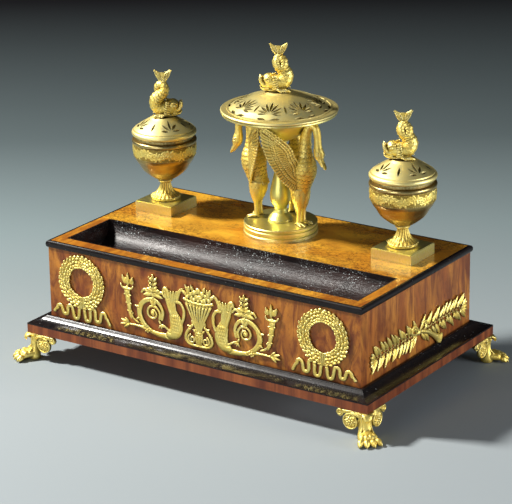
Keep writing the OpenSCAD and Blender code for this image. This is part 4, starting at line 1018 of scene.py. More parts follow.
def drawSpray(spec):
    # x runs from front to back on the right side, y up from the foot of the case sides
    f = newField(-93.0, 98.0, 3.0, 39.0, spec["cell"])
    kx, ky = spec["knotX"], spec["knotZ"]
    for way, reach, pairs in ((-1, 90.0, 12), (1, 93.6, 12)):
        start = (kx - way * 13.0, ky - 3.4)
        tip = (kx + way * reach, ky - 0.6)
        stem = [(start[0], start[1], 1.1), (kx, ky, 1.1), (kx + way * reach * 0.5, ky + 0.8, 0.9),
                (tip[0] - way * 6, tip[1], 0.6)]
        stroke(f, stem, 1.9, steps=10)
        for k in range(pairs):
            t = (k + 0.3) / pairs
            px = kx + way * (1.0 + (reach - 11.0) * t)
            py = ky + 0.8 * sin(pi * t)
            for up in (-1, 1):
                # leaves lean toward the tip, each one a little its own way, on short stalks
                lean = 57 - 5 * t + 8 * sin(9.1 * k + 2.3 * up)
                a = radians(lean * up if way > 0 else 180 - lean * up)
                c, d = cos(a), sin(a)
                long = 14.9 + 1.0 * sin(4.3 * k + 2 * up)
                stroke(f, [(px, py, 0.55), (px + c * 3.6, py + d * 3.6, 0.6)], 1.7, base=0.9)
                leaf(f, px + c * 2.6, py + d * 2.6, np.degrees(a), long, 5.2 + 0.5 * sin(3.7 * k + up),
                     spec["tall"] + 0.1 * (k % 2), base=0.9, groove=0.8, blunt=0.6)
                # berry on its own stalk, out between two leaves
                b = radians((lean - 30) * up if way > 0 else 180 - (lean - 30) * up)
                bx, by = px + cos(b) * 9.6, py + sin(b) * 10.6
                stroke(f, [(px, py, 0.45), (bx, by, 0.45)], 1.5, base=0.8)
                dome(f, bx, by, 1.25, 2.5, base=1.1)
        for up in (-2, -1, 0, 1, 2):
            a = up * 30 if way > 0 else 180 - up * 30
            leaf(f, tip[0] - way * (10.4 - abs(up)), tip[1], a, 10.8 - 0.4 * abs(up), 4.9, spec["tall"],
                 groove=0.6)
    # ribbon knot and its loops
    for s in (-1, 1):
        stroke(f, [(kx, ky, 1.4), (kx + s * 6, ky + 7.4, 1.7), (kx + s * 12.6, ky + 8.0, 1.6),
                   (kx + s * 13.0, ky + 2.4, 1.4), (kx + s * 5, ky - 0.6, 1.2)], 2.4, cut=0.25)
    dome(f, kx, ky, 3.0, 2.6)
    return f


def makeSprays(spec):
    for name, s in (("spray_right", 1), ("spray_left", -1)):
        def place(x, y, h):
            return np.stack([s * (case["halfLength"] + h), x, case["bottom"] + y], axis=1)
        leaves, tone = fieldPart(drawSpray(spec), place)
        # cut stem that stands off the side, with its flared end
        stem = limb([(s * 184.0, 4.0, 66.6, 1.7, 1.2), (s * 184.9, 14.0, 63.0, 2.1, 1.5),
                     (s * 184.9, 26.0, 56.2, 2.5, 1.6), (s * 184.7, 34.0, 50.6, 3.1, 1.8)], 8, 20,
                    (0, 0, 1))
        cup = limb([(s * 184.7, 32.0, 52.4, 3.0, 1.7), (s * 184.7, 36.4, 49.2, 4.4, 1.9),
                    (s * 184.8, 39.4, 47.4, 6.4, 2.1), (s * 184.8, 40.6, 46.6, 6.6, 2.0),
                    (s * 184.8, 40.9, 46.4, 5.2, 1.2)], 8, 28, (0, 0, 1))
        tone = np.concatenate([tone, np.ones(len(stem[0]) + len(cup[0]))])
        addPiece(name + "_chased", joined([leaves, stem, cup]), chasedGilt, (name,), tone)


makeSprays(spray)
print("sprays done")

foot = {"voxel": 0.38, "smooth": 2, "cell": 0.35, "corner": (195.4, 115.4), "rosette": 8.2,
        "scroll": 25.8, "top": 28.5, "face": 1.5}


def pawLumps():
    # drawn with the paw pointing along +X and the shank over the origin
    parts = [
        limb([(0, 0, 28.4, 8.0, 6.2), (-0.2, 0, 24.8, 6.5, 4.8), (-0.4, 0, 19.4, 5.7, 4.2),
              (-0.4, 0, 14, 6.0, 4.5), (0, 0, 9, 7.2, 5.6), (0.4, 0, 4.5, 8.0, 6.2),
              (0.4, 0, 0.6, 7.4, 6.0)], 6, 28),
        limb([(-3.4, 0, 4.8, 5.6, 4.2), (2, 0, 6.4, 7.8, 5.0), (8, 0, 6.0, 9.0, 4.4),
              (13, 0, 4.2, 9.4, 3.2), (16.2, 0, 2.6, 8.6, 2.2)], 6, 28),
        # leaf that curls out from under the corner of the plinth
        limb([(1.5, 0, 27.4, 5.4, 1.8), (6.4, 0, 26.4, 4.8, 1.6), (8.6, 0, 23.6, 3.6, 1.5),
              (8.2, 0, 21.4, 2.0, 1.2)], 6, 18),
    ]
    for a in (-29, -10, 10, 29):
        c, s = cos(radians(a)), sin(radians(a))
        toe = [(3.0, 8.4, 2.0, 1.8), (7.4, 7.4, 2.4, 2.4), (11.4, 6.6, 3.3, 3.4), (14.4, 4.7, 2.3, 2.3),
               (17.0, 4.3, 3.1, 3.2), (19.2, 2.6, 2.6, 2.3), (20.6, 1.2, 1.6, 1.1)]
        parts.append(limb([(p * c, p * s, z, w, d) for p, z, w, d in toe], 6, 20, (-s, c, 0)))
        claw = [(17.6, 5.0, 1.2, 1.3), (20.0, 4.6, 1.1, 1.2), (21.8, 2.9, 0.8, 0.9),
                (22.5, 0.8, 0.35, 0.4)]
        parts.append(limb([(p * c, p * s, z, w, d) for p, z, w, d in claw], 6, 12, (-s, c, 0)))
    for y in (-4.6, -1.6, 1.6, 4.6):
        # sinews on the front of the shank
        parts.append(limb([(4.4 - 0.2 * abs(y), y, 24.6, 0.7, 0.8),
                           (3.2 - 0.2 * abs(y), y * 0.9, 19.0, 0.6, 0.7),
                           (3.6 - 0.2 * abs(y), y * 1.05, 13.6, 0.6, 0.8),
                           (6.0, y * 1.3, 9.6, 0.8, 0.8)], 5, 10))
    for s in (-1, 1):
        # lock of hair behind each side of the heel
        for k in range(3):
            parts.append(limb([(-1.0 - k, s * (5.4 - 0.7 * k), 21.5 - 3 * k, 1.1, 1.0),
                               (-3.4 - k * 0.8, s * (6.6 - k), 17.6 - 3 * k, 1.2, 1.0),
                               (-5.4 - k * 0.5, s * (6.9 - k), 14.8 - 3.2 * k, 0.5, 0.5)], 4, 10))
    return parts


def drawArm(spec):
    # arm with its scroll, seen from outside: x away from the shank, y up to the plinth
    end, r = spec["scroll"], spec["rosette"]
    f = newField(-6.0, end + 6.0, -22.0, 0.0, spec["cell"])
    stroke(f, [(-3, -3.4, 3.0), (3, -3.6, 3.3), (9, -2.9, 2.7), (14.6, -2.4, 2.1), (20.4, -2.3, 2.0),
               (25.0, -3.2, 2.7)], 3.2, base=2.2, steps=8)
    dome(f, end, -4.4, 4.0, 3.0, base=2.4, groove=0.3)
    stroke(f, [(x, y, w * 1.1) for x, y, w in coil(end, -4.4, 3.3, 1.3, 120, 1.5, -1, 0.85)], 4.0,
           base=2.6, groove=0.6, steps=2)
    stroke(f, [(end - 3.4, -1.6, 0.7), (14.6, -1.1, 0.6), (4, -1.4, 0.7)], 3.7, base=3.0, groove=0.25)
    for k, x in enumerate((-1.0, 3.2, 7.0)):
        leaf(f, x, -3.9 + 0.2 * k, 4, 8.6, 4.4 - 0.4 * k, 3.9, base=2.6, groove=0.45)
    cx, cy = 14.6, -3.0 - r
    dome(f, cx, cy, r, 2.6, base=2.0, groove=0.5)
    ring = [(cx + (r - 0.9) * cos(a), cy + (r - 0.9) * sin(a), 0.85) for a in np.linspace(0, 2 * pi, 40)]
    stroke(f, ring, 3.5, base=2.6, groove=0.5, steps=1)
    for tier, (reach, wide, tall) in enumerate(((r - 2.4, 3.6, 3.3), (3.9, 2.6, 4.0))):
        for k in range(8):
            a = 45 * k + 22.5 * tier
            leaf(f, cx + 0.8 * cos(radians(a)), cy + 0.8 * sin(radians(a)), a, reach, wide, tall,
                 base=2.3, rib=0.2, groove=0.5)
    dome(f, cx, cy, 1.3, 4.3, base=3.4)
    return f


def makeFeet(spec):
    cx, cy = spec["corner"]
    armField = drawArm(spec)

    def alongX(x, y, h):
        return np.stack([-x, spec["face"] + h, spec["top"] + y], axis=1)

    def alongY(x, y, h):
        return np.stack([spec["face"] + h, -x, spec["top"] + y], axis=1)
    armX, tone = fieldPart(armField, alongX)
    armY, toneY = fieldPart(armField, alongY)
    lumps = joined([moved(p, turn=radians(45)) for p in pawLumps()])
    lumps[0][:, 2] = np.clip(lumps[0][:, 2], 0.0, spec["top"])
    for name, sx, sy in (("foot_front_left", -1, -1), ("foot_front_right", 1, -1),
                         ("foot_back_left", -1, 1), ("foot_back_right", 1, 1)):
        place = {"offset": (sx * cx, sy * cy, 0), "mirrorX": sx < 0, "mirrorY": sy < 0}
        paw = addPiece(name + "_paw", moved(lumps, **place), figureGilt, (name,))
        fused(paw, spec["voxel"], spec["smooth"])
        addPiece(name + "_arms", joined([moved(armX, **place), moved(armY, **place)]), chasedGilt,
                 (name,), np.concatenate([tone, toneY]))


makeFeet(foot)
print("feet done")

swan = {"baseZ": 136.4, "height": 108.6, "drawn": 106.6, "sides": 112, "steps": 16}


def scallops(long, tall, count, fade, way=-1):
    # overlapping feathers or scales round a swept body, tips toward its start (way -1) or its end;
    # fade scales them along the body
    def add(length, angle, share):
        run = way * length / long
        row = np.floor(run)
        t = run - row

        def across(r):
            turn = angle / (2 * pi) * count + 0.5 * (r % 2)
            return np.abs(turn - np.floor(turn) - 0.5) * 2
        over = t < 0.62 * np.sqrt(np.clip(1 - across(row - 1) ** 2, 0, 1))
        tall1 = 0.55 + 0.28 * (t + 1) + 0.16 * (across(row - 1) < 0.2)
        tall0 = 0.12 + 0.38 * t + 0.16 * (across(row) < 0.2)
        return tall * np.where(over, tall1, tall0) * np.interp(share, np.linspace(0, 1, len(fade)), fade)
    return add


# open and folded wing: root and tip in plan, how far it bows out, and how far its tip hangs
wingSheet = {"cell": 0.45, "tall": 1.3, "long": 38.9, "open": ((28.4, 9.4), (3.6, 35.6), 2.6, 0.0),
             "folded": ((24.8, 9.6), (20.6, 14.6), 3.0, 13.0)}


def drawWing(spec):
    # x from the shoulder outward, y height above the drum; the wing stands nearly upright
    f = newField(-2.0, 42.0, 32.0, 106.0, spec["cell"])
    tips = [(38.7, 102.6), (38.2, 95.6), (36.9, 87.4), (34.8, 79.6), (32.0, 72.8), (28.6, 66.6),
            (24.8, 60.6), (21.0, 54.6), (16.8, 49.6), (12.4, 45.4), (8.0, 41.8), (4.2, 38.4)]
    arms = [(16.0, 84.5), (15.4, 82.5), (14.6, 80.0), (13.6, 77.0), (12.4, 74.0), (11.0, 71.0),
            (9.4, 68.0), (7.8, 65.0), (6.0, 62.0), (4.2, 59.5), (2.4, 57.5), (0.6, 56.0)]
    tips, arms = ([tuple(p) for p in smoothRun(run, 2)[:, :2]] for run in (tips, arms))
    # long feathers, the lowest first so that each one lies over the one below it
    for (tx, ty), (ax, ay) in reversed(list(zip(tips, arms))):
        bow = (ty - 60) / 60
        mx, my = (ax + tx) / 2 + 1.2 * bow, (ay + ty) / 2 + 2.2 * bow
        stroke(f, [(ax, ay, 2.2), (mx, my, 2.8), (tx * 0.82 + ax * 0.18, ty * 0.82 + ay * 0.18, 2.9),
                   (tx, ty, 1.9)], spec["tall"], base=0.4, groove=0.5, steps=8, cut=-0.3)
    # two rows of coverts
    for row, (reach, wide, high) in enumerate(((0.58, 2.7, 1.65), (0.36, 2.5, 1.9))):
        for (tx, ty), (ax, ay) in reversed(list(zip(tips[row:], arms[row:]))):
            stroke(f, [(ax, ay, 1.8), (ax + (tx - ax) * reach * 0.6, ay + (ty - ay) * reach * 0.6, wide),
                       (ax + (tx - ax) * reach, ay + (ty - ay) * reach, wide * 0.75)], high, base=0.8,
                   groove=0.5, steps=6, cut=-0.25)
    edge = [(-0.6, 55.0, 5.0), (1.0, 62.5, 4.8), (5.4, 69.6, 4.2), (9.8, 79.4, 3.7), (17.6, 87.2, 2.9),
            (29.0, 96.4, 2.0), (38.0, 102.4, 0.8)]
    stroke(f, edge, 2.1, base=1.0, groove=0.45, steps=8)
    run = smoothRun(edge, 7)
    for k in range(2, len(run) - 4, 2):
        x, y, w = run[k]
        dx, dy = run[k + 1][:2] - run[k - 1][:2]
        a = np.degrees(atan2(dy, dx))
        for side in (-1, 0, 1):
            px, py = x - sin(radians(a)) * side * w * 0.62, y + cos(radians(a)) * side * w * 0.62
            leaf(f, px, py, a + 12 * side, 3.8, 3.0, 2.4, base=1.5, rib=0.12, groove=0.4)
    stroke(f, [(p[0] - 0.6, p[1] + 0.9, 0.75) for p in run[:-2:3]], 2.3, base=1.0, groove=0.2, steps=3)
    return f


def wingPlace(sign, root, tip, bow, droop):
    # stands the drawn wing along the plan line from root to tip, bowed outward
    rx, ry = root
    dx, dy = tip[0] - rx, tip[1] - ry
    span = hypot(dx, dy)
    nx, ny = dy / span, -dx / span

    def place(x, y, h):
        t = x / wingSheet["long"]
        out = bow * np.sin(pi * np.clip(t, 0, 1)) + h
        return np.stack([rx + dx * t + nx * out, sign * (ry + dy * t + ny * out),
                         y - droop * np.clip(t, 0, 1.1)], axis=1)
    return place


def swanBody(spec):
    # head outward along +X, heights above the drum
    fade = [0.0, 0.4, 0.8, 1.0, 1.0, 0.8, 0.55, 0.42, 0.38, 0.34, 0.3, 0.2]
    body = [(20.6, 0, 20.6, 2.2, 2.2), (22.4, 0, 26, 6.4, 6.4), (24.4, 0, 35.4, 9.0, 9.2),
            (27.2, 0, 45, 10.2, 10.4), (29.6, 0, 55, 12.0, 12.2), (30.8, 0, 63.4, 11.0, 11.0),
            (31, 0, 71, 7.6, 7.9), (31.2, 0, 80, 5.8, 6.0), (32, 0, 89, 5.4, 5.5),
            (34.2, 0, 96, 4.7, 4.6), (37.4, 0, 101, 4.3, 4.0), (41, 0, 102.4, 3.9, 3.6),
            (44.2, 0, 100.4, 3.6, 3.5), (46, 0, 95.4, 3.5, 3.5), (46.8, 0, 89, 3.3, 3.4),
            (47.0, 0, 83.0, 3.6, 3.8), (47.6, 0, 78.2, 4.6, 5.0), (48.6, 0, 74.0, 4.7, 5.1),
            (50.2, 0, 70.6, 3.6, 3.9)]
    return limb(body, spec["steps"], spec["sides"], relief=scallops(4.2, 0.62, 13, fade))


def swanBill():
    # bill with its lower edge, and the knob over it
    return [limb([(49.2, 0, 72.0, 3.5, 3.7), (51.6, 0, 68.2, 2.8, 2.5), (53.8, 0, 65.0, 2.7, 1.7),
                  (55.6, 0, 62.4, 2.2, 1.2), (56.4, 0, 61.0, 1.0, 0.6)], 8, 24),
            limb([(48.2, 0, 70.8, 2.8, 2.0), (50.4, 0, 66.6, 2.3, 1.3), (53.0, 0, 63.2, 1.9, 0.8)], 6,
                 18), ball((51.8, 0, 70.8), (1.5, 1.6, 1.8), 14)]


def swanSide(s):
    # eye, brow and feathered leg of one side, then the webbed foot: three toes, web and hind toe
    parts = [ball((49.6, s * 4.0, 75.0), (1.4, 1.2, 1.4), 14),
             limb([(47.0, s * 4.0, 79.0, 0.7, 0.8), (50.0, s * 4.5, 77.2, 0.8, 0.7),
                   (52.4, s * 3.4, 73.8, 0.6, 0.6)], 6, 10),
             limb([(24.6, s * 4.4, 38, 6.2, 8.2), (25.4, s * 4.3, 27, 5.6, 6.4),
                   (25.8, s * 4.0, 19.8, 4.0, 4.3), (25.8, s * 3.8, 15.4, 2.6, 2.7),
                   (25.7, s * 3.7, 9, 2.2, 2.3), (25.3, s * 3.9, 2, 2.7, 2.8)], 10, 48,
                  relief=scallops(2.8, 0.6, 12, [0.6, 1, 1, 0.9, 0.6, 0, 0, 0, 0], 1))]
    for spread, reach in ((-25, 9.0), (0, 10.6), (25, 9.0)):
        c, t = cos(radians(spread + s * 8)), sin(radians(spread + s * 8))
        parts.append(limb([(24.6, s * 4.6, 2.4, 1.6, 1.6),
                           (24.6 + reach * 0.5 * c, s * 4.6 + reach * 0.5 * t, 1.9, 1.2, 1.2),
                           (24.6 + reach * c, s * 4.6 + reach * t, 0.8, 0.7, 0.7)], 5, 12, (-t, c, 0)))
    parts.append(limb([(24.8, s * 4.7, 1.2, 1.6, 0.9), (29.0, s * 5.2, 0.9, 3.0, 0.7),
                       (33.0, s * 5.8, 0.5, 4.2, 0.4)], 5, 16))
    parts.append(limb([(24.6, s * 4.6, 2.2, 1.1, 1.1), (21.8, s * 4.4, 0.9, 0.8, 0.8)], 5, 10))
    return parts


def swanTail():
    return [limb([(24, y * 0.7, 41, 2.4, 2.0), (18, y, 38, 1.9, 1.2),
                  (14.2 + abs(y) * 0.3, y * 1.2, 34.6, 1.0, 0.6)], 6, 12)
            for y in (-4.4 + 2.2 * k for k in range(5))]


def swanWings(field, openSide):
    # the wing on the open side is spread, the other one folded
    places = [wingPlace(s, *wingSheet["open" if s == openSide else "folded"]) for s in (-1, 1)]
    return [fieldPart(field, place, back=-0.8)[0] for place in places]


def makeSwans(spec):
    field = drawWing(wingSheet)
    rest = [swanBody(spec)] + swanBill() + swanSide(-1) + swanSide(1) + swanTail()
    for name, turn, openSide in (("swan_right", -4, -1), ("swan_back", 90, 0), ("swan_left", 184, 1)):
        verts, faces = joined(rest + swanWings(field, openSide))
        verts[:, 2] = np.clip(verts[:, 2], 0.0, spec["drawn"]) * spec["height"] / spec["drawn"]
        standing = moved((verts, faces), (0, case["rowY"], spec["baseZ"]), radians(turn))
        addPiece(name + "_feathered", standing, figureGilt, (name,))


makeSwans(swan)
print("swans done")

dolphin = {"urnZ": 223.0, "dishZ": 269.8, "height": 48.4, "sides": 84, "steps": 12}


def dolphinBody(spec):
    # head along +X and down on its seat, the body thrown back, knotted once, the tail fanned above
    run = [(13.4, 0, 7.4, 4.6, 4.2), (10.6, 0, 8.2, 6.2, 6.4), (6.6, 0, 8.6, 7.0, 7.6),
           (2.0, 0, 8.4, 7.4, 7.9), (-2.6, 0, 8.9, 7.4, 7.8), (-6.0, -0.2, 11.8, 7.0, 7.2),
           (-6.8, -0.7, 16.2, 6.7, 6.9), (-4.6, -1.7, 20.6, 6.0, 6.2), (-0.6, -2.7, 24.2, 5.1, 5.2),
           (1.8, -2.5, 28.2, 4.4, 4.3), (0.9, -1.4, 32.0, 3.9, 3.8), (-1.8, 0.4, 33.2, 3.8, 3.8),
           (-4.6, 2.2, 30.6, 3.8, 3.7), (-5.0, 3.5, 26.8, 3.6, 3.5), (-2.4, 3.9, 24.2, 3.4, 3.4),
           (0.6, 3.7, 25.4, 3.4, 3.4), (2.2, 2.6, 29.4, 3.4, 3.2), (1.2, 1.1, 33.6, 3.2, 2.7),
           (0, 0, 37.4, 3.0, 2.2)]
    fade = [0, 0.1, 0.9, 1, 1, 1, 0.8, 0.5]
    return limb(run, spec["steps"], spec["sides"], relief=scallops(2.9, 0.6, 13, fade, 1))


def dolphinTail():
    # one ribbed fan with two points
    parts = [limb([(0, 0, 35.6, 2.9, 2.0), (0, 0.2, 38.8, 3.8, 1.6), (0, 0.3, 41.8, 4.8, 1.25),
                   (0, 0.4, 44.2, 4.4, 0.9), (0, 0.4, 45.6, 2.6, 0.5)], 8, 20, (1, 0, 0))]
    for s in (-1, 1):
        parts.append(limb([(s * 0.9, 0, 36.4, 2.4, 1.9), (s * 2.6, 0.2, 40.2, 3.0, 1.5),
                           (s * 4.8, 0.4, 43.4, 2.8, 1.2), (s * 6.8, 0.7, 46.0, 1.7, 0.9),
                           (s * 8.3, 0.9, 48.2, 0.4, 0.4)], 8, 20, (1, 0, 0)))
        for k in range(5):
            # rib of the fan, from its root over its middle to its tip
            reach = 0.45 + 0.13 * k
            midX, midZ = s * (1.0 + 3.0 * reach + 0.35 * (k - 2)), 41.0 + 0.5 * (2 - k)
            tipX = s * (1.2 + 7.0 * reach + 0.5 * (k - 2))
            tipZ = 47.6 - 0.75 * (4 - k) * (0.2 + 0.8 * reach)
            parts.append(limb([(s * 0.7, 0.1, 37.0, 0.6, 1.9), (midX, 0.3, midZ, 0.55, 1.9),
                               (tipX, 0.6, tipZ, 0.35, 0.9)], 6, 8, (1, 0, 0)))
    return parts


def dolphinHead():
    # brow, upturned ruffled lip, jaw
    parts = [ball((9.6, 0, 12.0), (6.5, 6.9, 6.2), 32),
             limb([(10.6, 0, 6.6, 5.6, 4.4), (14.6, 0, 7.0, 4.9, 3.2), (16.8, 0, 9.6, 4.7, 2.3),
                   (17.4, 0, 12.8, 4.3, 1.8), (17.0, 0, 15.8, 3.1, 1.1)], 8, 26)]
    for k in range(5):
        y = -3.4 + 1.7 * k
        parts.append(limb([(18.2, y, 9.6, 0.7, 1.1), (18.9, y * 1.12, 12.8, 0.7, 1.0),
                           (18.0, y * 1.05, 16.0, 0.5, 0.7)], 5, 10))
    parts.append(limb([(10.0, 0, 4.2, 5.4, 3.2), (14.4, 0, 3.2, 4.3, 2.3), (17.2, 0, 4.0, 3.6, 1.4),
                       (18.4, 0, 6.0, 2.6, 0.8)], 8, 22))
    return parts


def dolphinSide(s):
    # eye and brow, gill and fin of one side
    parts = [ball((11.8, s * 5.9, 12.0), (2.0, 1.5, 2.0), 16),
             limb([(7.8, s * 6.3, 14.4, 1.0, 1.1), (11.2, s * 6.9, 15.2, 1.2, 1.0),
                   (14.6, s * 5.4, 13.0, 0.9, 0.8)], 6, 12)]
    for k in range(6):
        # ruffled gill behind the cheek
        z = 3.6 + 2.3 * k
        parts.append(limb([(6.4, s * 6.2, z, 1.4, 1.0),
                           (3.4, s * (7.8 - 0.25 * k), z + 0.6, 1.3, 0.9),
                           (0.8 + 0.4 * k, s * (8.2 - 0.4 * k), z + 1.8, 0.7, 0.5)], 5, 12,
                          (0, 0, 1)))
    for k in range(5):
        # side fin laid on the cover
        parts.append(limb([(3.4 - 1.5 * k, s * 6.6, 3.6, 1.2, 1.2),
                           (0.6 - 2.1 * k, s * 9.0, 2.5, 1.2, 1.0),
                           (-2.2 - 2.2 * k, s * (10.6 - 0.6 * k), 1.1, 0.7, 0.6)], 5, 10, (0, 0, 1)))
    return parts


def dolphinBack():
    # crest down the back, and the seat under the body
    parts = []
    for k in range(7):
        parts.append(limb([(-9.0 + 0.5 * k, -0.2 - 0.2 * k, 10.0 + 2.0 * k, 1.0, 1.2),
                           (-13.4 + 0.9 * k, -0.3 - 0.2 * k, 12.4 + 2.1 * k, 0.6, 0.6)], 4, 8))
    parts.append(limb([(-6.0, 0, 2.0, 6.2, 2.2), (2.0, 0, 1.9, 7.4, 2.1), (9.0, 0, 2.0, 5.8, 2.2),
                       (13.0, 0, 2.2, 3.4, 1.8)], 6, 24))
    return parts


def makeDolphins(spec):
    sides = dolphinSide(-1) + dolphinSide(1)
    verts, faces = joined([dolphinBody(spec)] + dolphinTail() + dolphinHead() + sides + dolphinBack())
    verts[:, 2] = np.clip(verts[:, 2], 0.0, spec["height"])
    for name, x, z, turn, body in (("urn_left_dolphin", -case["urnX"], spec["urnZ"], 34, "cover_left"),
                                   ("urn_right_dolphin", case["urnX"], spec["urnZ"], 214, "cover_right"),
                                   ("dish_dolphin", 0.0, spec["dishZ"], 214, "cover_centre")):
        seated = moved((verts, faces), (x, case["rowY"], z), radians(turn))
        addPiece(name + "_chased", seated, figureGilt, (name,), body=body)


makeDolphins(dolphin)
print("dolphins done")

# each urn gets its chased frieze, its leaf-cast foot and its fluted stem
urn = {"stemZ": 135.0, "stemHigh": 21.5, "footR": 15.0, "waistR": 5.3, "flutes": 16, "sides": 224,
       "friezeLow": 182.6, "friezeHigh": 195.6, "friezeR": 31.68, "repeats": 8, "cell": 0.36}


def drawFrieze(spec):
    # running scroll of leaves and flowers between two fine beads
    long = 2 * pi * spec["friezeR"]
    high = spec["friezeHigh"] - spec["friezeLow"]
    f = newField(0.0, long, 0.0, high, spec["cell"])
    f["h"][:] = 0.4  # the ground of the frieze
    step = long / spec["repeats"]
    mid = high / 2
    for k in range(-1, spec["repeats"] + 1):
        for half, way in ((0, 1), (0.5, -1)):
            x = (k + half + 0.25) * step
            stroke(f, [(x - step * 0.27, mid - way * 3.6, 1.0), (x - step * 0.12, mid + way * 1.2, 1.0),
                       (x + step * 0.04, mid + way * 4.4, 1.0), (x + step * 0.2, mid + way * 2.4, 0.9),
                       (x + step * 0.23, mid - way * 3.6, 0.9)], 1.25, base=0.6, groove=0.25, steps=6)
            for a, reach in ((0, 4.2), (60, 4.0), (120, 3.9), (180, 3.9), (240, 4.0), (300, 4.1)):
                leaf(f, x + step * 0.04, mid + way * 0.2, a + 20 * way, reach, 2.9, 1.5, base=0.7,
                     rib=0.15, groove=0.3)
            dome(f, x + step * 0.04, mid + way * 0.2, 1.3, 1.7, base=1.1, groove=0.25)
            for a in (-66, -20, 28, 76):
                leaf(f, x - step * 0.2, mid - way * 1.6, way * a, 5.4, 3.0, 1.35, base=0.6, rib=0.15,
                     groove=0.3)
                leaf(f, x + step * 0.22, mid + way * 2.6, 180 + way * a, 5.0, 2.8, 1.35, base=0.6,
                     rib=0.15, groove=0.3)
    for y in (0.5, high - 0.5):
        stroke(f, [(x, y, 0.5) for x in np.linspace(-1, long + 1, 60)], 0.8, base=0.5, groove=0.1,
               steps=1, bead=1.4)
    return f


def stemPart(spec):
    h, r, w = spec["stemHigh"], spec["footR"], spec["waistR"]
    run = [(r - 0.8, 0.0)] + [(r - 1.6 + 1.6 * cos(radians(a)), 0.1 * h + 0.09 * h * sin(radians(a)))
                              for a in range(-60, 81, 20)]
    slope = smoothRun([(r * 0.86, 0.2 * h), (r * 0.66, 0.3 * h), (w + 2.2, 0.5 * h), (w + 0.7, 0.68 * h),
                       (w, 0.84 * h)], 9)
    run += [tuple(p) for p in slope]
    # collar under the bowl, then the bore for the tie rod
    run += [(w, 0.86 * h), (w + 1.6, 0.88 * h), (w + 2.2, 0.91 * h), (w + 2.2, 0.94 * h),
            (w + 1.6, 0.97 * h), (w + 1.4, h), (1.9, h), (1.9, 0.0)]

    def relief(angle, radius, z):
        t = z / h
        flute = 0.5 + 0.5 * np.cos(angle * spec["flutes"])
        dr = -0.75 * flute ** 2 * np.interp(t, [0.3, 0.42, 0.78, 0.85], [0, 1, 1, 0])
        # a ring of leaves on the spreading foot, and a second one between them
        for shift, low, high in ((0.0, 0.17, 0.5), (0.5, 0.15, 0.36)):
            across = np.abs(((angle / (2 * pi) * 10 + shift) % 1) - 0.5) * 2
            along = np.clip((t - low) / (high - low), 0, 1)
            shape = np.clip((1.0 - along ** 2) * 0.95 - across, 0, 1)
            raised = np.clip(shape * 3, 0, 1) * (along > 0) * (along < 1)
            dr = dr + 0.75 * raised * (1 - 0.35 * (across < 0.12))
        return np.where(radius > 2.5, dr, 0)
    part = turned(run, spec["sides"], relief)
    part[0][:, 2] += spec["stemZ"]
    return part


def makeUrns(spec):
    long = 2 * pi * spec["friezeR"]
    field = drawFrieze(spec)
    stem = stemPart(spec)
    for side, s, turn in (("left", -1, 0.4), ("right", 1, 1.3)):
        centre = (s * case["urnX"], case["rowY"])

        def place(x, y, h):
            a = x / long * 2 * pi + turn
            r = spec["friezeR"] + h * 0.55 + 0.0345 * y
            return np.stack([centre[0] + r * np.cos(a), centre[1] + r * np.sin(a),
                             spec["friezeLow"] + y], axis=1)
        band, tone = fieldPart(field, place, rounds=0)
        addPiece("urn_%s_frieze" % side, band, chasedGilt, (), tone)
        addPiece("urn_%s_stem_cast" % side, moved(stem, (*centre, 0)), figureGilt,
                 ("urn_%s_stem" % side,))


makeUrns(urn)
print("urns done")

# the studio is in metres
studio = {
    "turn": radians(cameraSpec["azimuth"]), "rough": 0.92,
    "front": 2.2, "back": 1.5, "rise": 1.6, "half": 3.0, "bend": 0.7,
    # how far along the sweep, and its colour there: pale on the floor, darkening up the wall to near
    # black as painted fall-off of light
    "tones": ((-0.1, (0.335, 0.375, 0.395)), (0.42, (0.192, 0.24, 0.25)), (0.77, (0.088, 0.112, 0.118)),
              (1.25, (0.007, 0.007, 0.008))),
}


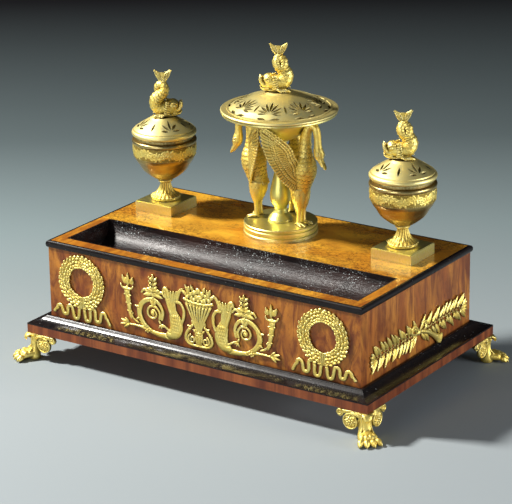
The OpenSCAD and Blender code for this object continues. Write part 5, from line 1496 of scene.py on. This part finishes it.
def makeBackdrop(spec):
    # one sweep of paper, floor and wall, square to the camera; y runs away from it
    rows = [(-spec["front"], 0.0)]
    rows += [(y, 0.0) for y in np.linspace(-1.2, spec["back"] - spec["bend"], 24)]
    for a in np.linspace(0.05, pi / 2, 14):
        rows.append((spec["back"] - spec["bend"] + spec["bend"] * sin(a), spec["bend"] * (1 - cos(a))))
    rows.append((spec["back"], spec["bend"] + spec["rise"]))
    xs = np.linspace(-spec["half"], spec["half"], 9)
    c, s = cos(spec["turn"]), sin(spec["turn"])
    verts = [(x * c - y * s, x * s + y * c, z) for y, z in rows for x in xs]
    mesh = bpy.data.meshes.new("backdrop")
    mesh.from_pydata(verts, [], gridFaces(len(rows), len(xs), False))
    mesh.update()
    mesh.shade_smooth()
    sheet = bpy.data.objects.new("backdrop", mesh)
    scene.collection.objects.link(sheet)
    way = mesh.attributes.new("way", "FLOAT", "POINT")
    way.data.foreach_set("value", np.repeat([y + z for y, z in rows], len(xs)).astype(np.float32))
    mat, tree, shader = newMaterial("backdrop_paper")
    # the ramp paints the light falling off along the sweep: painted shade
    ramp = tree.nodes.new("ShaderNodeValToRGB")
    first, last = spec["tones"][0][0], spec["tones"][-1][0]
    stops = ramp.color_ramp.elements
    stops[0].color, stops[1].color = (*spec["tones"][0][1], 1), (*spec["tones"][-1][1], 1)
    for at, colour in spec["tones"][1:-1]:
        stops.new((at - first) / (last - first)).color = (*colour, 1)
    share = tree.nodes.new("ShaderNodeMapRange")
    for socket, v in zip(share.inputs, (attributeNode(tree, "way"), first, last, 0.0, 1.0)):
        feed(tree, socket, v)
    tree.links.new(share.outputs[0], ramp.inputs["Fac"])
    # open from behind, so that a view from the back looks through the wall
    behind = tree.nodes.new("ShaderNodeNewGeometry").outputs["Backfacing"]
    dress(tree, shader, {"Base Color": ramp.outputs["Color"], "Roughness": spec["rough"],
                         "Specular IOR Level": 0.0, "Alpha": mathNode(tree, "SUBTRACT", 1.0, behind)})
    mesh.materials.append(mat)


makeBackdrop(studio)

# azimuth is counted from the front, positive toward the right side; the lamps look at aim
lamps = {
    "key": {"azimuth": -66, "elevation": 45, "distance": 2.6, "size": (0.3, 0.3), "power": 136,
            "colour": (1.0, 0.97, 0.92)},
    "fill_right": {"azimuth": 100, "elevation": 6, "distance": 2.0, "size": (0.9, 0.4), "power": 24,
                   "colour": (0.96, 0.97, 1.0)},
    "fill_front": {"azimuth": 2, "elevation": 7, "distance": 2.3, "size": (1.2, 0.3), "power": 13,
                   "colour": (1.0, 0.98, 0.96)},
}
aim = (0, 0, 0.14)
air = {"colour": (0.55, 0.62, 0.68, 1), "strength": 0.13}


def addLamp(name, spec):
    light = bpy.data.lights.new(name, "AREA")
    light.shape = "RECTANGLE"
    light.size, light.size_y = spec["size"]
    light.energy, light.color = spec["power"], spec["colour"]
    lamp = bpy.data.objects.new(name, light)
    a, e = radians(spec["azimuth"]), radians(spec["elevation"])
    away = Vector((sin(a) * cos(e), -cos(a) * cos(e), sin(e)))
    lamp.location = Vector(aim) + away * spec["distance"]
    lamp.rotation_euler = away.to_track_quat("Z", "Y").to_euler()
    scene.collection.objects.link(lamp)


def fillAir(spec):
    # faint light from all round
    world = bpy.data.worlds.new("studio_air")
    scene.world = world
    world.use_nodes = True
    sky = world.node_tree.nodes["Background"]
    sky.inputs["Color"].default_value = spec["colour"]
    sky.inputs["Strength"].default_value = spec["strength"]


for name, spec in lamps.items():
    addLamp(name, spec)
fillAir(air)
scene.view_settings.view_transform = "Standard"
print("studio done")
